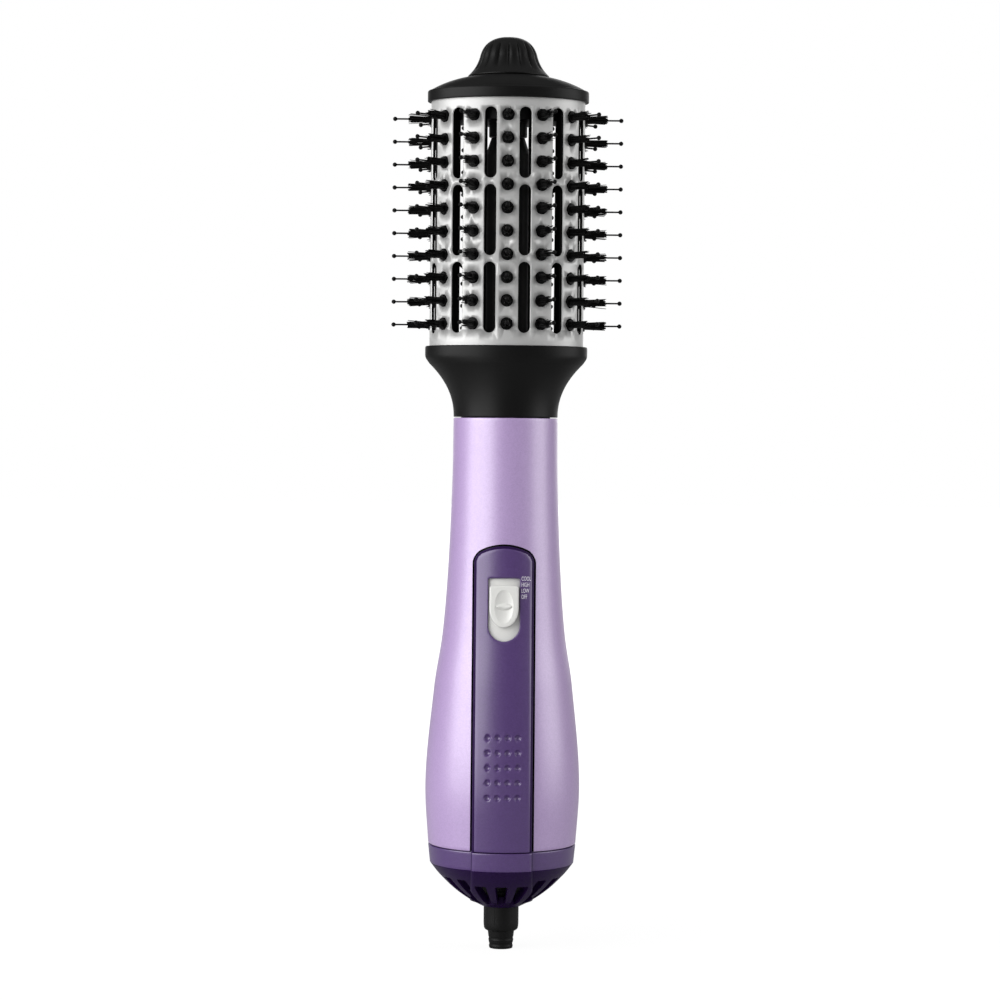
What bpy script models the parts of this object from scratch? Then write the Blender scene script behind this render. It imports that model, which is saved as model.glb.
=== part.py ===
"""Hot air brush: an oval slotted barrel with twelve bristle strips on a blower handle.

Units are metres, +Z up. The long axis is Z, the tip is up and the control panel faces -Y. The origin
is the middle of the cord outlet at the bottom. Sizes are written in millimetres times MM.
"""

import math

import bmesh
import bpy
from mathutils import Matrix, Vector
from mathutils.geometry import tessellate_polygon

MM = 0.001

# ---------------------------------------------------------------- lengths along the axis
STUB_LENGTH = 6.0 * MM  # strain relief below the swivel socket
SOCKET_EXPOSED = 8.2 * MM  # swivel socket below the tail cap
TAIL_HEIGHT = 20.6 * MM  # tail cap, from its mouth to the seam with the handle
HANDLE_LENGTH = 141.2 * MM  # seam to neck
COLLAR_HEIGHT = 23.3 * MM  # neck to the barrel's visible foot
BARREL_EXPOSED = 80.4 * MM  # barrel between collar and tip cap
CAP_HEIGHT = 7.9 * MM  # tip cap, rim to seat
KNOB_HEIGHT = 13.3 * MM  # tip knob above its seat

TAIL_Z = STUB_LENGTH + SOCKET_EXPOSED
SEAM_Z = TAIL_Z + TAIL_HEIGHT
NECK_Z = SEAM_Z + HANDLE_LENGTH
BARREL_Z = NECK_Z + COLLAR_HEIGHT
CAP_Z = BARREL_Z + BARREL_EXPOSED
KNOB_Z = CAP_Z + CAP_HEIGHT

# ---------------------------------------------------------------- fits and gaps
GAP = 0.3 * MM  # clearance between pieces that touch
RUNNING_GAP = 0.4 * MM  # clearance round what turns
SINK = 0.4 * MM  # how far a boss or rib goes into the wall that carries it
PAST = 1.0 * MM  # how far a cut runs on past the face it opens
STEP_IN = 0.2 * MM  # offset that keeps a rib's faces off those of its ring

# ---------------------------------------------------------------- handle
HANDLE_WALL = 2.2 * MM
SEAM_R = 24.4 * MM
BELLY_R = 25.5 * MM
FLARE_R = 22.8 * MM
GRIP_R = 20.2 * MM
SHOULDER_R = 18.5 * MM
WAIST_R = 17.4 * MM
NECK_R = 17.2 * MM
BELLY_RISE = 18.5 * MM  # heights above the seam
FLARE_RISE = 52.3 * MM
GRIP_RISE = 69.7 * MM
SHOULDER_RISE = 92.0 * MM
WAIST_RISE = 121.0 * MM
HANDLE_SIDES = 12  # facets round each half

# ---------------------------------------------------------------- control panel
PANEL_WIDTH = 19.5 * MM
PANEL_OVER_WINDOW = 10.45 * MM  # top of the arch above the window
PANEL_ARCH_R = 16.0 * MM
PANEL_CORNER = 2.0 * MM
PANEL_PROUD = 1.5 * MM
PANEL_ROLL = 1.6 * MM  # width of the rolled edge
PANEL_EDGE = 0.35  # share of the panel's height left at its rolled edge
PANEL_SEAT = 1.0 * MM  # depth of the pocket in the housing
PANEL_SHADOW_GAP = 0.6 * MM
DIMPLE_D = 2.25 * MM
DIMPLE_DEPTH = 0.5 * MM
DIMPLE_PITCH_X = 3.27 * MM
DIMPLE_PITCH_Z = 4.84 * MM
DIMPLE_COLUMNS = 4
DIMPLE_ROWS = 5
DIMPLE_RISE = 27.9 * MM  # middle of the pattern above the seam

# ---------------------------------------------------------------- slide switch
WINDOW_WIDTH = 10.2 * MM
WINDOW_LENGTH = 20.4 * MM
BUTTON_WIDTH = 9.5 * MM
BUTTON_LENGTH = 13.6 * MM
BUTTON_REST = 1.0 * MM  # button centre above the window centre, at HIGH
BUTTON_PROUD = 1.0 * MM
TRAVEL_UP = 2.0 * MM  # one step, to COOL
TRAVEL_DOWN = 4.0 * MM  # two steps, to LOW and OFF
FLANGE_WIDTH = 12.4 * MM
FLANGE_THICKNESS = 0.8 * MM
FLANGE_LIP = 0.5 * MM  # how far the flange still reaches past the window at its limits
RECESS_SIDE_GAP = 0.4 * MM
THUMB_DISH_LENGTH = 10.2 * MM
THUMB_DISH_WIDTH = 6.3 * MM
THUMB_DISH_DEPTH = 0.6 * MM
THUMB_RIDGE = 0.7 * MM  # finger ridge across the dish
BUTTON_CHAMFER = 0.5 * MM
LEVER_SIZE = 3.0 * MM
LEVER_LENGTH = 6.4 * MM
SWITCH_WIDTH = 13.0 * MM
SWITCH_LENGTH = 19.0 * MM
SWITCH_DEPTH = 7.0 * MM
SWITCH_CLEAR = 0.35 * MM  # its flat face behind the housing's inner wall
SWITCH_RISE = 3.05 * MM  # switch body above the motor's end bell

# ---------------------------------------------------------------- tail cap
TAIL_WALL = 2.0 * MM
TAIL_CREASE_R = 23.8 * MM
TAIL_BAND = 6.0 * MM  # height of the band above the crease
TAIL_BULGE = 1.5 * MM  # sagitta of the bowl's arc
TAIL_MOUTH_R = 6.1 * MM
TAIL_FLOOR = 3.5 * MM
TAIL_MOUTH_EDGE = 0.4 * MM  # flat ring round the mouth
TAIL_LIP_HEIGHT = 4.0 * MM
TAIL_LIP_WALL = 1.6 * MM
VENT_COUNT = 18
VENT_INNER_R = 9.3 * MM
VENT_OUTER_R = 20.6 * MM
VENT_ANGLE = math.radians(11.7)
TAIL_SIDES = 24

# ---------------------------------------------------------------- cord outlet and swivel
CORD_BORE_R = 3.0 * MM
STUB_TIP_R = 3.7 * MM
SHANK_R = 4.4 * MM
STUB_RIB_HEIGHT = 1.0 * MM
STUB_RIB_DEPTH = 0.3 * MM
STUB_RIBS = 2
STUB_RIB_START = 0.7  # first rib's height in rib spacings
SOCKET_R = 5.8 * MM
SOCKET_ROUND = 1.3 * MM
SOCKET_EDGE = 0.2 * MM  # flat ring left round the socket's bore
SOCKET_BULGE = 0.25 * MM
SOCKET_FLANGE_R = 7.6 * MM
SOCKET_FLANGE = 1.6 * MM
ROTOR_R = 8.6 * MM
ROTOR_THICKNESS = 1.6 * MM
RING_THICKNESS = 0.6 * MM
RING_WIDTH = 1.2 * MM
RING_INNER_R = 5.0 * MM
RING_OUTER_R = 7.2 * MM
LEAF_WIDTH = 1.0 * MM
LEAF_THICKNESS = 0.4 * MM
LEAF_FOOT = 3.6 * MM
SCREEN_RISE = 10.8 * MM  # screen above the tail cap's mouth
SCREEN_THICKNESS = 1.5 * MM
SCREEN_HUB_R = 9.6 * MM
SCREEN_RIM = 2.0 * MM
SCREEN_WINDOWS = 8
SCREEN_SPOKE = 2.2 * MM

# ---------------------------------------------------------------- fan and motor
DUCT_RISE = 15.2 * MM  # duct foot above the seam
DUCT_HEIGHT = 24.0 * MM
DUCT_WALL = 1.2 * MM
FAN_RISE = 1.4 * MM  # impeller above the duct's foot
FAN_HEIGHT = 9.0 * MM
FAN_HUB_R = 7.5 * MM
FAN_NOSE = 2.0 * MM  # height and width of the hub's sloped nose
BLADE_MARGIN = 0.6 * MM  # blade short of the hub's height, top and bottom
CUP_RISE = 1.5 * MM  # motor cup above the impeller
FAN_BLADES = 7
BLADE_THICKNESS = 1.0 * MM
BLADE_ROOT_PITCH = math.radians(50)
BLADE_TIP_PITCH = math.radians(32)
VANE_COUNT = 6
VANE_THICKNESS = 1.2 * MM
VANE_HEIGHT = 10.0 * MM
CUP_WALL = 1.3 * MM
CUP_HEIGHT = 17.0 * MM
MOTOR_R = 13.9 * MM
MOTOR_LENGTH = 34.0 * MM
MOTOR_FLAT_R = 13.0 * MM
END_BELL_R = 13.2 * MM
END_BELL_HEIGHT = 3.0 * MM
TERMINAL_SIZE = 2.0 * MM
TERMINAL_THICKNESS = 0.8 * MM
MOTOR_CHAMFER = 1.0 * MM
BELL_CHAMFER = 0.8 * MM
SHAFT_START = 1.0 * MM  # shaft's end above the impeller's foot
SHAFT_R = 1.15 * MM
SHAFT_SEAT = 3.0 * MM  # solid can behind the shaft's end
BOARD_WIDTH = 19.0 * MM
BOARD_DEPTH = 15.0 * MM
BOARD_BACK = 10.0 * MM  # rear edge behind the axis
BOARD_THICKNESS = 1.6 * MM
DIODE_R = 1.3 * MM
DIODE_LENGTH = 5.0 * MM
DIODE_PITCH = 4.4 * MM
DIODE_COUNT = 4

# ---------------------------------------------------------------- heater
HEATER_CLEAR = 7.9 * MM  # mica's end below the core spider
HEATER_BASE_HEIGHT = 1.7 * MM
HEATER_BASE_WALL = 2.4 * MM
HEATER_BAR = 3.0 * MM
MICA_INSET = 6.0 * MM  # edge of the sheets inside the neck's outer radius
MICA_THICKNESS = 0.7 * MM
COIL_TURNS = 6
COIL_STEPS = 8  # points in each turn
COIL_END = 5.0 * MM  # bare mica beyond the coil at each end
WIRE = 0.8 * MM
SLEEVE_WALL = 0.5 * MM
THERMOSTAT_SIZE = (6.0 * MM, 3.0 * MM, 9.0 * MM)
FUSE_R = 1.2 * MM
FUSE_LENGTH = 10.0 * MM
THERMOSTAT_SIDE = 2.0 * MM  # its near edge from the second sheet
CUTOUT_RISE = 9.0 * MM  # thermostat and fuse above the foot of the mica

# ---------------------------------------------------------------- barrel and collar
BARREL_A = 25.4 * MM  # half width, left to right
BARREL_B = 17.8 * MM  # half depth, front to back
BARREL_WALL = 0.9 * MM
BARREL_IN_COLLAR = 3.0 * MM
BARREL_IN_CAP = 1.8 * MM
STRIP_COUNT = 12
TUFT_ROWS = 10
TUFT_PITCH = 7.53 * MM
TUFT_FIRST = 7.0 * MM  # first row above the visible foot
SLOT_WIDTH = 4.0 * MM
SLOT_LENGTH = 23.1 * MM
SLOT_TIERS = 3
SLOT_PITCH = 25.1 * MM
SLOT_FIRST = 4.0 * MM  # lowest slot's foot above the visible foot
COLLAR_WALL = 2.4 * MM
COLLAR_LIP = 1.4 * MM  # how far the rim stands out beyond the barrel
COLLAR_RIM_B = 1.2 * MM
COLLAR_RIM_HEIGHT = 5.7 * MM
COLLAR_RIM_SLOPE = 2.0 * MM  # height over which the trumpet meets the straight rim
COLLAR_CHAMFER = 0.5 * MM
COLLAR_FLARE = 2.2  # exponent of the trumpet's curve
COLLAR_SPIGOT = 10.0 * MM
SPIGOT_WALL = 1.4 * MM
COLLAR_SIDES = 24

# ---------------------------------------------------------------- bristle strips
RAIL_WIDTH = 6.6 * MM
RAIL_THICKNESS = 2.4 * MM
RAIL_CLEAR = 0.75 * MM  # bar below the barrel's inner wall, more than its curve rises
RAIL_END = 2.5 * MM  # bar beyond the first and last boss
BOSS_R = 1.75 * MM
BOSS_PROUD = 0.4 * MM
BUNDLE_R = 1.55 * MM  # half diagonal of the square bundle
BUNDLE_REACH = 7.6 * MM
PIN_R = 0.4 * MM
PIN_REACH = 12.9 * MM

# ---------------------------------------------------------------- core and tip
CORE_R = 7.3 * MM
CORE_WALL = 1.2 * MM
CORE_SHOULDER = 17.2 * MM  # start of the cone below the cap's rim
CORE_TIP_R = 5.5 * MM
CORE_CONE = 5.5 * MM
CORE_PLUG = 7.0 * MM  # solid head that the tip screw bites
SPIDER_RIM = 2.4 * MM
SPIDER_HEIGHT = 2.2 * MM
SPIDER_ARM = 3.0 * MM
CAP_RIM = 0.9 * MM
CAP_RIM_HEIGHT = 3.6 * MM
CAP_CHAMFER = 0.5 * MM
CAP_SEAT_R = 13.9 * MM
CAP_DOME = 0.6 * MM  # how far the shoulder bows outward
CAP_PLUG_GAP = 0.4 * MM  # plug above the strips' ends
CAP_PLATE = 4.0 * MM  # inner plate below the plug, between the strips
CAP_STEM_R = 6.3 * MM
CAP_POCKET_R = 11.3 * MM
CAP_POCKET = 2.0 * MM
CAP_SIDES = 24
KNOB_FOOT_R = 13.4 * MM
KNOB_WAIST_R = 9.5 * MM
KNOB_CROWN_R = 3.2 * MM
KNOB_FLUTES = 16
KNOB_FLUTE_DEPTH = 0.7 * MM
KNOB_FOOT_HEIGHT = 0.4 * MM
KNOB_WAIST_SHARE = 0.55  # share of the knob's height taken by its flared foot
KNOB_FLARE = 0.5 * MM  # hollow of the flared foot
KNOB_DOME = 1.5 * MM  # bulge of the crown
SCREW_R = 1.5 * MM
SCREW_HEAD_R = 2.9 * MM
SCREW_HEAD_HEIGHT = 2.0 * MM
SCREW_BITE = 9.0 * MM

# ---------------------------------------------------------------- housing screws
LOWER_SCREW_RISE = 8.2 * MM
UPPER_SCREW_CLEAR = 1.0 * MM  # its post above the switch body
HOUSING_SCREW_R = 1.3 * MM
HOUSING_HEAD_R = 2.4 * MM
HOUSING_HEAD_HEIGHT = 1.8 * MM
HEAD_CROWN = 0.6  # share of a screw head's radius and height at its rounded top
SCREW_BOSS_R = 3.2 * MM
SCREW_REACH = 7.5 * MM  # thread in the front post
SCREW_WELL = 12.0 * MM  # depth of the counterbore below the surface

# ================================================================ derived places
DUCT_Z = SEAM_Z + DUCT_RISE
FAN_Z = DUCT_Z + FAN_RISE
CUP_Z = FAN_Z + FAN_HEIGHT + CUP_RISE
MOTOR_Z = CUP_Z + CUP_WALL + GAP
END_BELL_Z = MOTOR_Z + MOTOR_LENGTH + GAP
BELL_TOP = END_BELL_Z + END_BELL_HEIGHT
BOARD_Z = BELL_TOP + TERMINAL_SIZE / 2 + GAP
WINDOW_Z = BELL_TOP + SWITCH_RISE + SWITCH_LENGTH / 2
PANEL_TOP = WINDOW_Z + WINDOW_LENGTH / 2 + PANEL_OVER_WINDOW
LOWER_SCREW_Z = SEAM_Z + LOWER_SCREW_RISE
UPPER_SCREW_Z = WINDOW_Z + SWITCH_LENGTH / 2 + UPPER_SCREW_CLEAR + SCREW_BOSS_R
HEATER_Z = UPPER_SCREW_Z + SCREW_BOSS_R + GAP
MICA_Z = HEATER_Z + HEATER_BASE_HEIGHT + GAP
SPIDER_Z = BARREL_Z - COLLAR_RIM_HEIGHT + GAP
MICA_LENGTH = SPIDER_Z - HEATER_CLEAR - MICA_Z
MICA_HALF_WIDTH = NECK_R - MICA_INSET
SCREEN_Z = TAIL_Z + SCREEN_RISE
SOCKET_TOP = TAIL_Z + TAIL_FLOOR + GAP + SOCKET_FLANGE
ROTOR_Z = SOCKET_TOP + GAP
RING_Z = ROTOR_Z + ROTOR_THICKNESS + GAP
LEDGE_Z = BARREL_Z - BARREL_IN_COLLAR - GAP
CAP_STEM_Z = CAP_Z - CORE_SHOULDER + CORE_CONE + GAP


# ================================================================ scene helpers
def clear_scene():
    for item in list(bpy.data.objects):
        bpy.data.objects.remove(item)


def material(name, colour, roughness, metallic=0.0):
    """A Principled material with a linear base colour."""
    made = bpy.data.materials.new(name)
    made.use_nodes = True
    shader = made.node_tree.nodes["Principled BSDF"]
    shader.inputs["Base Color"].default_value = (*colour, 1.0)
    shader.inputs["Roughness"].default_value = roughness
    shader.inputs["Metallic"].default_value = metallic
    return made


def add_object(name, verts, faces, finish=None):
    """Link a mesh object made from vertices and faces, with its faces turned outward."""
    mesh = bpy.data.meshes.new(name)
    mesh.from_pydata([tuple(v) for v in verts], [], faces)
    edit = bmesh.new()
    edit.from_mesh(mesh)
    bmesh.ops.recalc_face_normals(edit, faces=edit.faces)
    edit.to_mesh(mesh)
    edit.free()
    made = bpy.data.objects.new(name, mesh)
    bpy.context.scene.collection.objects.link(made)
    if finish:
        mesh.materials.append(finish)
    return made


def add_empty(name, location, rotation=(0.0, 0.0, 0.0)):
    """An empty that carries the pieces of one moving body."""
    made = bpy.data.objects.new(name, None)
    bpy.context.scene.collection.objects.link(made)
    made.location = location
    made.rotation_euler = rotation
    return made


def boolean(target, tool, operation="DIFFERENCE"):
    """Cut the tool out of the target, or join it on, and delete the tool."""
    modifier = target.modifiers.new(tool.name, "BOOLEAN")
    modifier.object = tool
    modifier.operation = operation
    modifier.solver = "EXACT"
    graph = bpy.context.evaluated_depsgraph_get()
    mesh = bpy.data.meshes.new_from_object(target.evaluated_get(graph))
    target.modifiers.clear()
    target.data = mesh
    bpy.data.objects.remove(tool)


def smooth(made, degrees=35.0):
    made.data.shade_smooth()
    made.data.set_sharp_from_angle(angle=math.radians(degrees))
    return made


# ================================================================ mesh builders
def loft(name, rings, finish=None, closed_path=False):
    """Bridge closed rings of equal count. An open path is capped, a closed one joins its ends."""
    count = len(rings[0])
    verts = [point for ring in rings for point in ring]
    faces = []
    steps = len(rings) if closed_path else len(rings) - 1
    for i in range(steps):
        low, high = i * count, (i + 1) % len(rings) * count
        for j in range(count):
            k = (j + 1) % count
            faces.append((low + j, low + k, high + k, high + j))
    if not closed_path:
        last = (len(rings) - 1) * count
        faces.append(tuple(range(count)))
        faces.append(tuple(last + j for j in range(count)))
    return add_object(name, verts, faces, finish)


def oval_ring(a, b, z, sides, turn=0.0):
    """Points of an ellipse with half axes a and b at height z."""
    angles = [turn + 2 * math.pi * i / sides for i in range(sides)]
    return [Vector((a * math.cos(t), b * math.sin(t), z)) for t in angles]


def turned(name, profile, finish, sides=16, bored=True, base_z=0.0):
    """Revolve (radius, z) points. A bored profile is a closed loop, a solid one is capped."""
    rings = [oval_ring(r, r, z - base_z, sides) for r, z in profile]
    made = loft(name, rings, finish, closed_path=bored)
    made.location.z = base_z
    return smooth(made)


def upright(name, outline, low, high, finish=None):
    """An (x, y) outline carried straight up from one height to another."""
    return loft(name, [[Vector((x, y, z)) for x, y in outline] for z in (low, high)], finish)


def block(name, low, high, finish=None):
    """A box between two corners."""
    outline = [(low[0], low[1]), (high[0], low[1]), (high[0], high[1]), (low[0], high[1])]
    return upright(name, outline, low[2], high[2], finish)


def sector(name, radii, middle, half_angles, low, high):
    """A wedge between two radii, with its own half angle at each, round a middle angle."""
    corners = ((0, -1), (1, -1), (1, 1), (0, 1))
    outline = []
    for end, side in corners:
        angle = middle + side * half_angles[end]
        outline.append((radii[end] * math.cos(angle), radii[end] * math.sin(angle)))
    return upright(name, outline, low, high)


def rod(name, start, end, radius, finish=None, sides=12):
    """A straight cylinder from start to end."""
    start, end = Vector(start), Vector(end)
    turn = (end - start).to_track_quat("Z", "Y").to_matrix()
    ring = oval_ring(radius, radius, 0.0, sides)
    return loft(name, [[point + turn @ p for p in ring] for point in (start, end)], finish)


def slab(name, front, back, finish=None):
    """A closed solid between two grids of points, front[row][column] and back[row][column]."""
    rows, columns = len(front), len(front[0])
    verts = [p for grid in (front, back) for row in grid for p in row]

    def at(side, row, column):
        return side * rows * columns + row * columns + column

    faces = []
    for i in range(rows - 1):
        for j in range(columns - 1):
            for side in (0, 1):
                faces.append(
                    (at(side, i, j), at(side, i, j + 1), at(side, i + 1, j + 1), at(side, i + 1, j))
                )
        for j in (0, columns - 1):
            faces.append((at(0, i, j), at(0, i + 1, j), at(1, i + 1, j), at(1, i, j)))
    for j in range(columns - 1):
        for i in (0, rows - 1):
            faces.append((at(0, i, j), at(0, i, j + 1), at(1, i, j + 1), at(1, i, j)))
    return add_object(name, verts, faces, finish)


def arc(start, end, bulge, steps):
    """Points from start to end on a circular arc that bows by bulge to the right of the way."""
    start, end = Vector(start), Vector(end)
    chord = end - start
    half = chord.length / 2
    radius = (half * half + bulge * bulge) / (2 * bulge)
    along = chord.normalized()
    side = Vector((along.y, -along.x))
    centre = (start + end) / 2 + side * (bulge - radius)
    sweep = math.asin(half / radius)
    points = []
    for i in range(steps + 1):
        angle = sweep * (2 * i / steps - 1)
        points.append(centre + radius * (side * math.cos(angle) + along * math.sin(angle)))
    return [(p.x, p.y) for p in points]


def spread(start, end, steps):
    """steps + 1 evenly spaced values."""
    return [start + (end - start) * i / steps for i in range(steps + 1)]


# ================================================================ handle form
HANDLE_STATIONS = (
    (SEAM_Z, SEAM_R),
    (SEAM_Z + BELLY_RISE, BELLY_R),
    (SEAM_Z + FLARE_RISE, FLARE_R),
    (SEAM_Z + GRIP_RISE, GRIP_R),
    (SEAM_Z + SHOULDER_RISE, SHOULDER_R),
    (SEAM_Z + WAIST_RISE, WAIST_R),
    (NECK_Z, NECK_R),
)


def station_slope(i):
    """Slope of the handle's outline at a station, level where the outline turns."""
    last = len(HANDLE_STATIONS) - 1
    low, high = max(i - 1, 0), min(i + 1, last)
    before = HANDLE_STATIONS[i][1] - HANDLE_STATIONS[low][1]
    after = HANDLE_STATIONS[high][1] - HANDLE_STATIONS[i][1]
    if 0 < i < last and before * after <= 0:
        return 0.0
    (z0, r0), (z1, r1) = HANDLE_STATIONS[low], HANDLE_STATIONS[high]
    return (r1 - r0) / (z1 - z0)


def handle_radius(z):
    """Outer radius of the handle at height z, on a smooth cubic through the stations."""
    z = min(max(z, SEAM_Z), NECK_Z)
    i = max(k for k in range(len(HANDLE_STATIONS) - 1) if HANDLE_STATIONS[k][0] <= z + 1e-9)
    (z0, r0), (z1, r1) = HANDLE_STATIONS[i], HANDLE_STATIONS[i + 1]
    span = z1 - z0
    t = (z - z0) / span
    m0, m1 = station_slope(i) * span, station_slope(i + 1) * span
    return (
        (2 * t**3 - 3 * t**2 + 1) * r0
        + (t**3 - 2 * t**2 + t) * m0
        + (3 * t**2 - 2 * t**3) * r1
        + (t**3 - t**2) * m1
    )


def handle_bore(low, high):
    """Smallest inner radius of the handle between two heights."""
    return min(handle_radius(z) for z in spread(low, high, 8)) - HANDLE_WALL


def handle_half(name, side, finish):
    """One half shell; side is -1 for the front and 1 for the rear."""
    heights = spread(SEAM_Z + GAP, NECK_Z - GAP, 10)
    angles = spread(0.0, math.pi, HANDLE_SIDES)

    def row(z, radius):
        points = []
        for t in angles:
            y = max(radius * math.sin(t), GAP / 2)
            points.append(Vector((radius * math.cos(t), side * y, z)))
        return points

    outer = [row(z, handle_radius(z)) for z in heights]
    inner = [row(z, handle_radius(z) - HANDLE_WALL) for z in heights]
    return slab(name, outer, inner, finish)


def head_seat(z):
    """How far behind the axis a housing screw's counterbore ends."""
    return handle_radius(z) - SCREW_WELL


def add_screw_posts(front, rear):
    """The posts that meet at the parting plane, with their bores."""
    for z in (LOWER_SCREW_Z, UPPER_SCREW_Z):
        wall = handle_radius(z)
        inner = wall - HANDLE_WALL
        bore = HOUSING_SCREW_R + GAP
        well = HOUSING_HEAD_R + GAP
        boolean(front, rod("post", (0, -GAP / 2, z), (0, -inner - SINK, z), SCREW_BOSS_R), "UNION")
        boolean(front, rod("bore", (0, PAST, z), (0, -SCREW_REACH - GAP, z), bore, sides=8))
        boolean(rear, rod("post", (0, GAP / 2, z), (0, inner + SINK, z), SCREW_BOSS_R), "UNION")
        boolean(rear, rod("bore", (0, -PAST, z), (0, wall, z), bore, sides=8))
        boolean(rear, rod("well", (0, head_seat(z), z), (0, wall + PAST, z), well))


def add_housing(plastic):
    front = handle_half("housing_front", -1, plastic)
    rear = handle_half("housing_rear", 1, plastic)
    add_screw_posts(front, rear)
    boolean(front, panel_pocket())
    boolean(front, lever_opening())
    return smooth(front), smooth(rear)


def add_housing_screws(steel):
    places = {"housing_screw_lower": LOWER_SCREW_Z, "housing_screw_upper": UPPER_SCREW_Z}
    for name, z in places.items():
        seat = head_seat(z) + GAP
        profile = [
            (HOUSING_SCREW_R, -SCREW_REACH),
            (HOUSING_SCREW_R, seat),
            (HOUSING_HEAD_R, seat),
            (HOUSING_HEAD_R, seat + HEAD_CROWN * HOUSING_HEAD_HEIGHT),
            (HEAD_CROWN * HOUSING_HEAD_R, seat + HOUSING_HEAD_HEIGHT),
        ]
        screw = turned(name, profile, steel, sides=10, bored=False)
        screw.rotation_euler.x = -math.pi / 2
        screw.location.z = z


# ================================================================ control panel
def arch_top(x, half_width):
    """Height of the panel's arched top at a distance x from its middle."""
    x = min(abs(x), half_width)
    top = PANEL_TOP - PANEL_ARCH_R + math.sqrt(PANEL_ARCH_R**2 - x * x)
    into_corner = (x - half_width + PANEL_CORNER) / PANEL_CORNER
    if into_corner > 0:
        top -= PANEL_CORNER * (1 - math.sqrt(max(0.0, 1 - into_corner**2)))
    return top


def roll(distance):
    """Share of the full height at a distance from a rolled edge."""
    t = min(max(distance / PANEL_ROLL, 0.0), 1.0)
    return math.sqrt(1 - (1 - t) ** 2)


PANEL_SHARES = [*spread(0.0, 0.95, 7), 0.985, 0.997, 1.0]  # rows up the panel, closer at the arch


def panel_columns(half_width):
    """Positions across the panel, closer together at the rolled edges."""
    flat = half_width - PANEL_ROLL
    edge = [half_width, half_width - 0.3 * PANEL_ROLL]
    return [-x for x in edge] + spread(-flat, flat, 4) + edge[::-1]


def panel_grid(offset, grow=0.0, below=0.0, rolled_from=None):
    """Rows of points over the panel's outline at an offset from the handle's surface.

    Grow widens the outline and below lowers its foot. With rolled_from, the inner offset, the
    edges come down towards it.
    """
    half_width = PANEL_WIDTH / 2 + grow
    foot = SEAM_Z + GAP - below
    rows = []
    for share in PANEL_SHARES:
        row = []
        for x in panel_columns(half_width):
            top = arch_top(x, half_width) + grow
            z = foot + share * (top - foot)
            lift = offset
            if rolled_from is not None:
                height = min(roll(half_width - abs(x)), roll(top - z))
                lift = rolled_from + (offset - rolled_from) * (PANEL_EDGE + (1 - PANEL_EDGE) * height)
            radius = handle_radius(z) + lift
            row.append(Vector((x, -math.sqrt(radius**2 - x * x), z)))
        rows.append(row)
    return rows


def panel_pocket():
    """The pocket that the panel sits in, wider by the shadow gap and open at its foot."""
    grids = [panel_grid(depth, PANEL_SHADOW_GAP, 2 * PAST) for depth in (PANEL_PROUD, -PANEL_SEAT)]
    return slab("pocket", *grids)


def switch_tilt():
    """Lean of the handle's surface at the switch window."""
    step = WINDOW_LENGTH / 2
    return math.atan((handle_radius(WINDOW_Z - step) - handle_radius(WINDOW_Z + step)) / (2 * step))


def switch_matrix():
    """The switch's frame: X across, Z up the slope, -Y out of the surface."""
    at = Matrix.Translation((0.0, -handle_radius(WINDOW_Z), WINDOW_Z))
    return at @ Matrix.Rotation(-switch_tilt(), 4, "X")


def stadium(width, low, high, sides=6):
    """(x, z) outline with square top corners and a half round foot."""
    half = width / 2
    foot = [
        (half * math.cos(t), low + half + half * math.sin(t)) for t in spread(math.pi, 2 * math.pi, sides)
    ]
    return [(half, high), (-half, high), *foot]


def plate(name, outline, low_y, high_y, finish=None):
    """An (x, z) outline carried from low_y to high_y."""
    return loft(name, [[Vector((x, y, z)) for x, z in outline] for y in (low_y, high_y)], finish)


def in_switch_frame(made):
    made.matrix_world = switch_matrix()
    return made


def curved_plate(name, half_width, span, outer, inner, finish=None):
    """A plate in the switch's frame that bends with the handle between two depths."""
    radius = handle_radius(WINDOW_Z)
    sagged = [(x, radius - math.sqrt(radius**2 - x * x)) for x in spread(-half_width, half_width, 6)]

    def grid(depth):
        return [[Vector((x, depth + sag, z)) for x, sag in sagged] for z in span]

    return slab(name, grid(outer), grid(inner), finish)


def flange_span():
    """Lowest and highest point of the dust flange along the slope, at rest."""
    half = WINDOW_LENGTH / 2
    return -half - TRAVEL_UP - FLANGE_LIP, half + TRAVEL_DOWN + FLANGE_LIP


def flange_seat():
    """Inner face of the flange, measured inward from the handle's surface."""
    return PANEL_SEAT - FLANGE_THICKNESS


def cut_window(panel):
    half = WINDOW_LENGTH / 2
    deep = PANEL_SEAT + PAST
    hole = plate("window", stadium(WINDOW_WIDTH, -half, half), -PANEL_PROUD - 4 * PAST, deep)
    boolean(panel, in_switch_frame(hole))
    low, high = flange_span()
    side = FLANGE_WIDTH / 2 + RECESS_SIDE_GAP
    face = flange_seat() - FLANGE_THICKNESS - GAP
    span = (low - TRAVEL_DOWN - 2 * GAP, high + TRAVEL_UP + 2 * GAP)
    boolean(panel, in_switch_frame(curved_plate("recess", side, span, face, deep)))


DIMPLE_RINGS = ((-DIMPLE_DEPTH, 1.9), (0.0, 1.0), (DIMPLE_DEPTH, 0.45))  # depth, share of the width


def dimple_tool(x, z):
    """A shallow six-sided cone pointing into the panel."""
    radius = handle_radius(z) + PANEL_PROUD
    lean = math.asin(x / radius)
    point = Vector((x, -math.sqrt(radius**2 - x * x), z))
    turn = Matrix.Rotation(lean, 3, "Z")
    rings = []
    for depth, size in DIMPLE_RINGS:
        ring = oval_ring(size * DIMPLE_D / 2, size * DIMPLE_D / 2, 0.0, 6)
        rings.append([point + turn @ Vector((p.x, depth, p.y)) for p in ring])
    return rings


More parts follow.
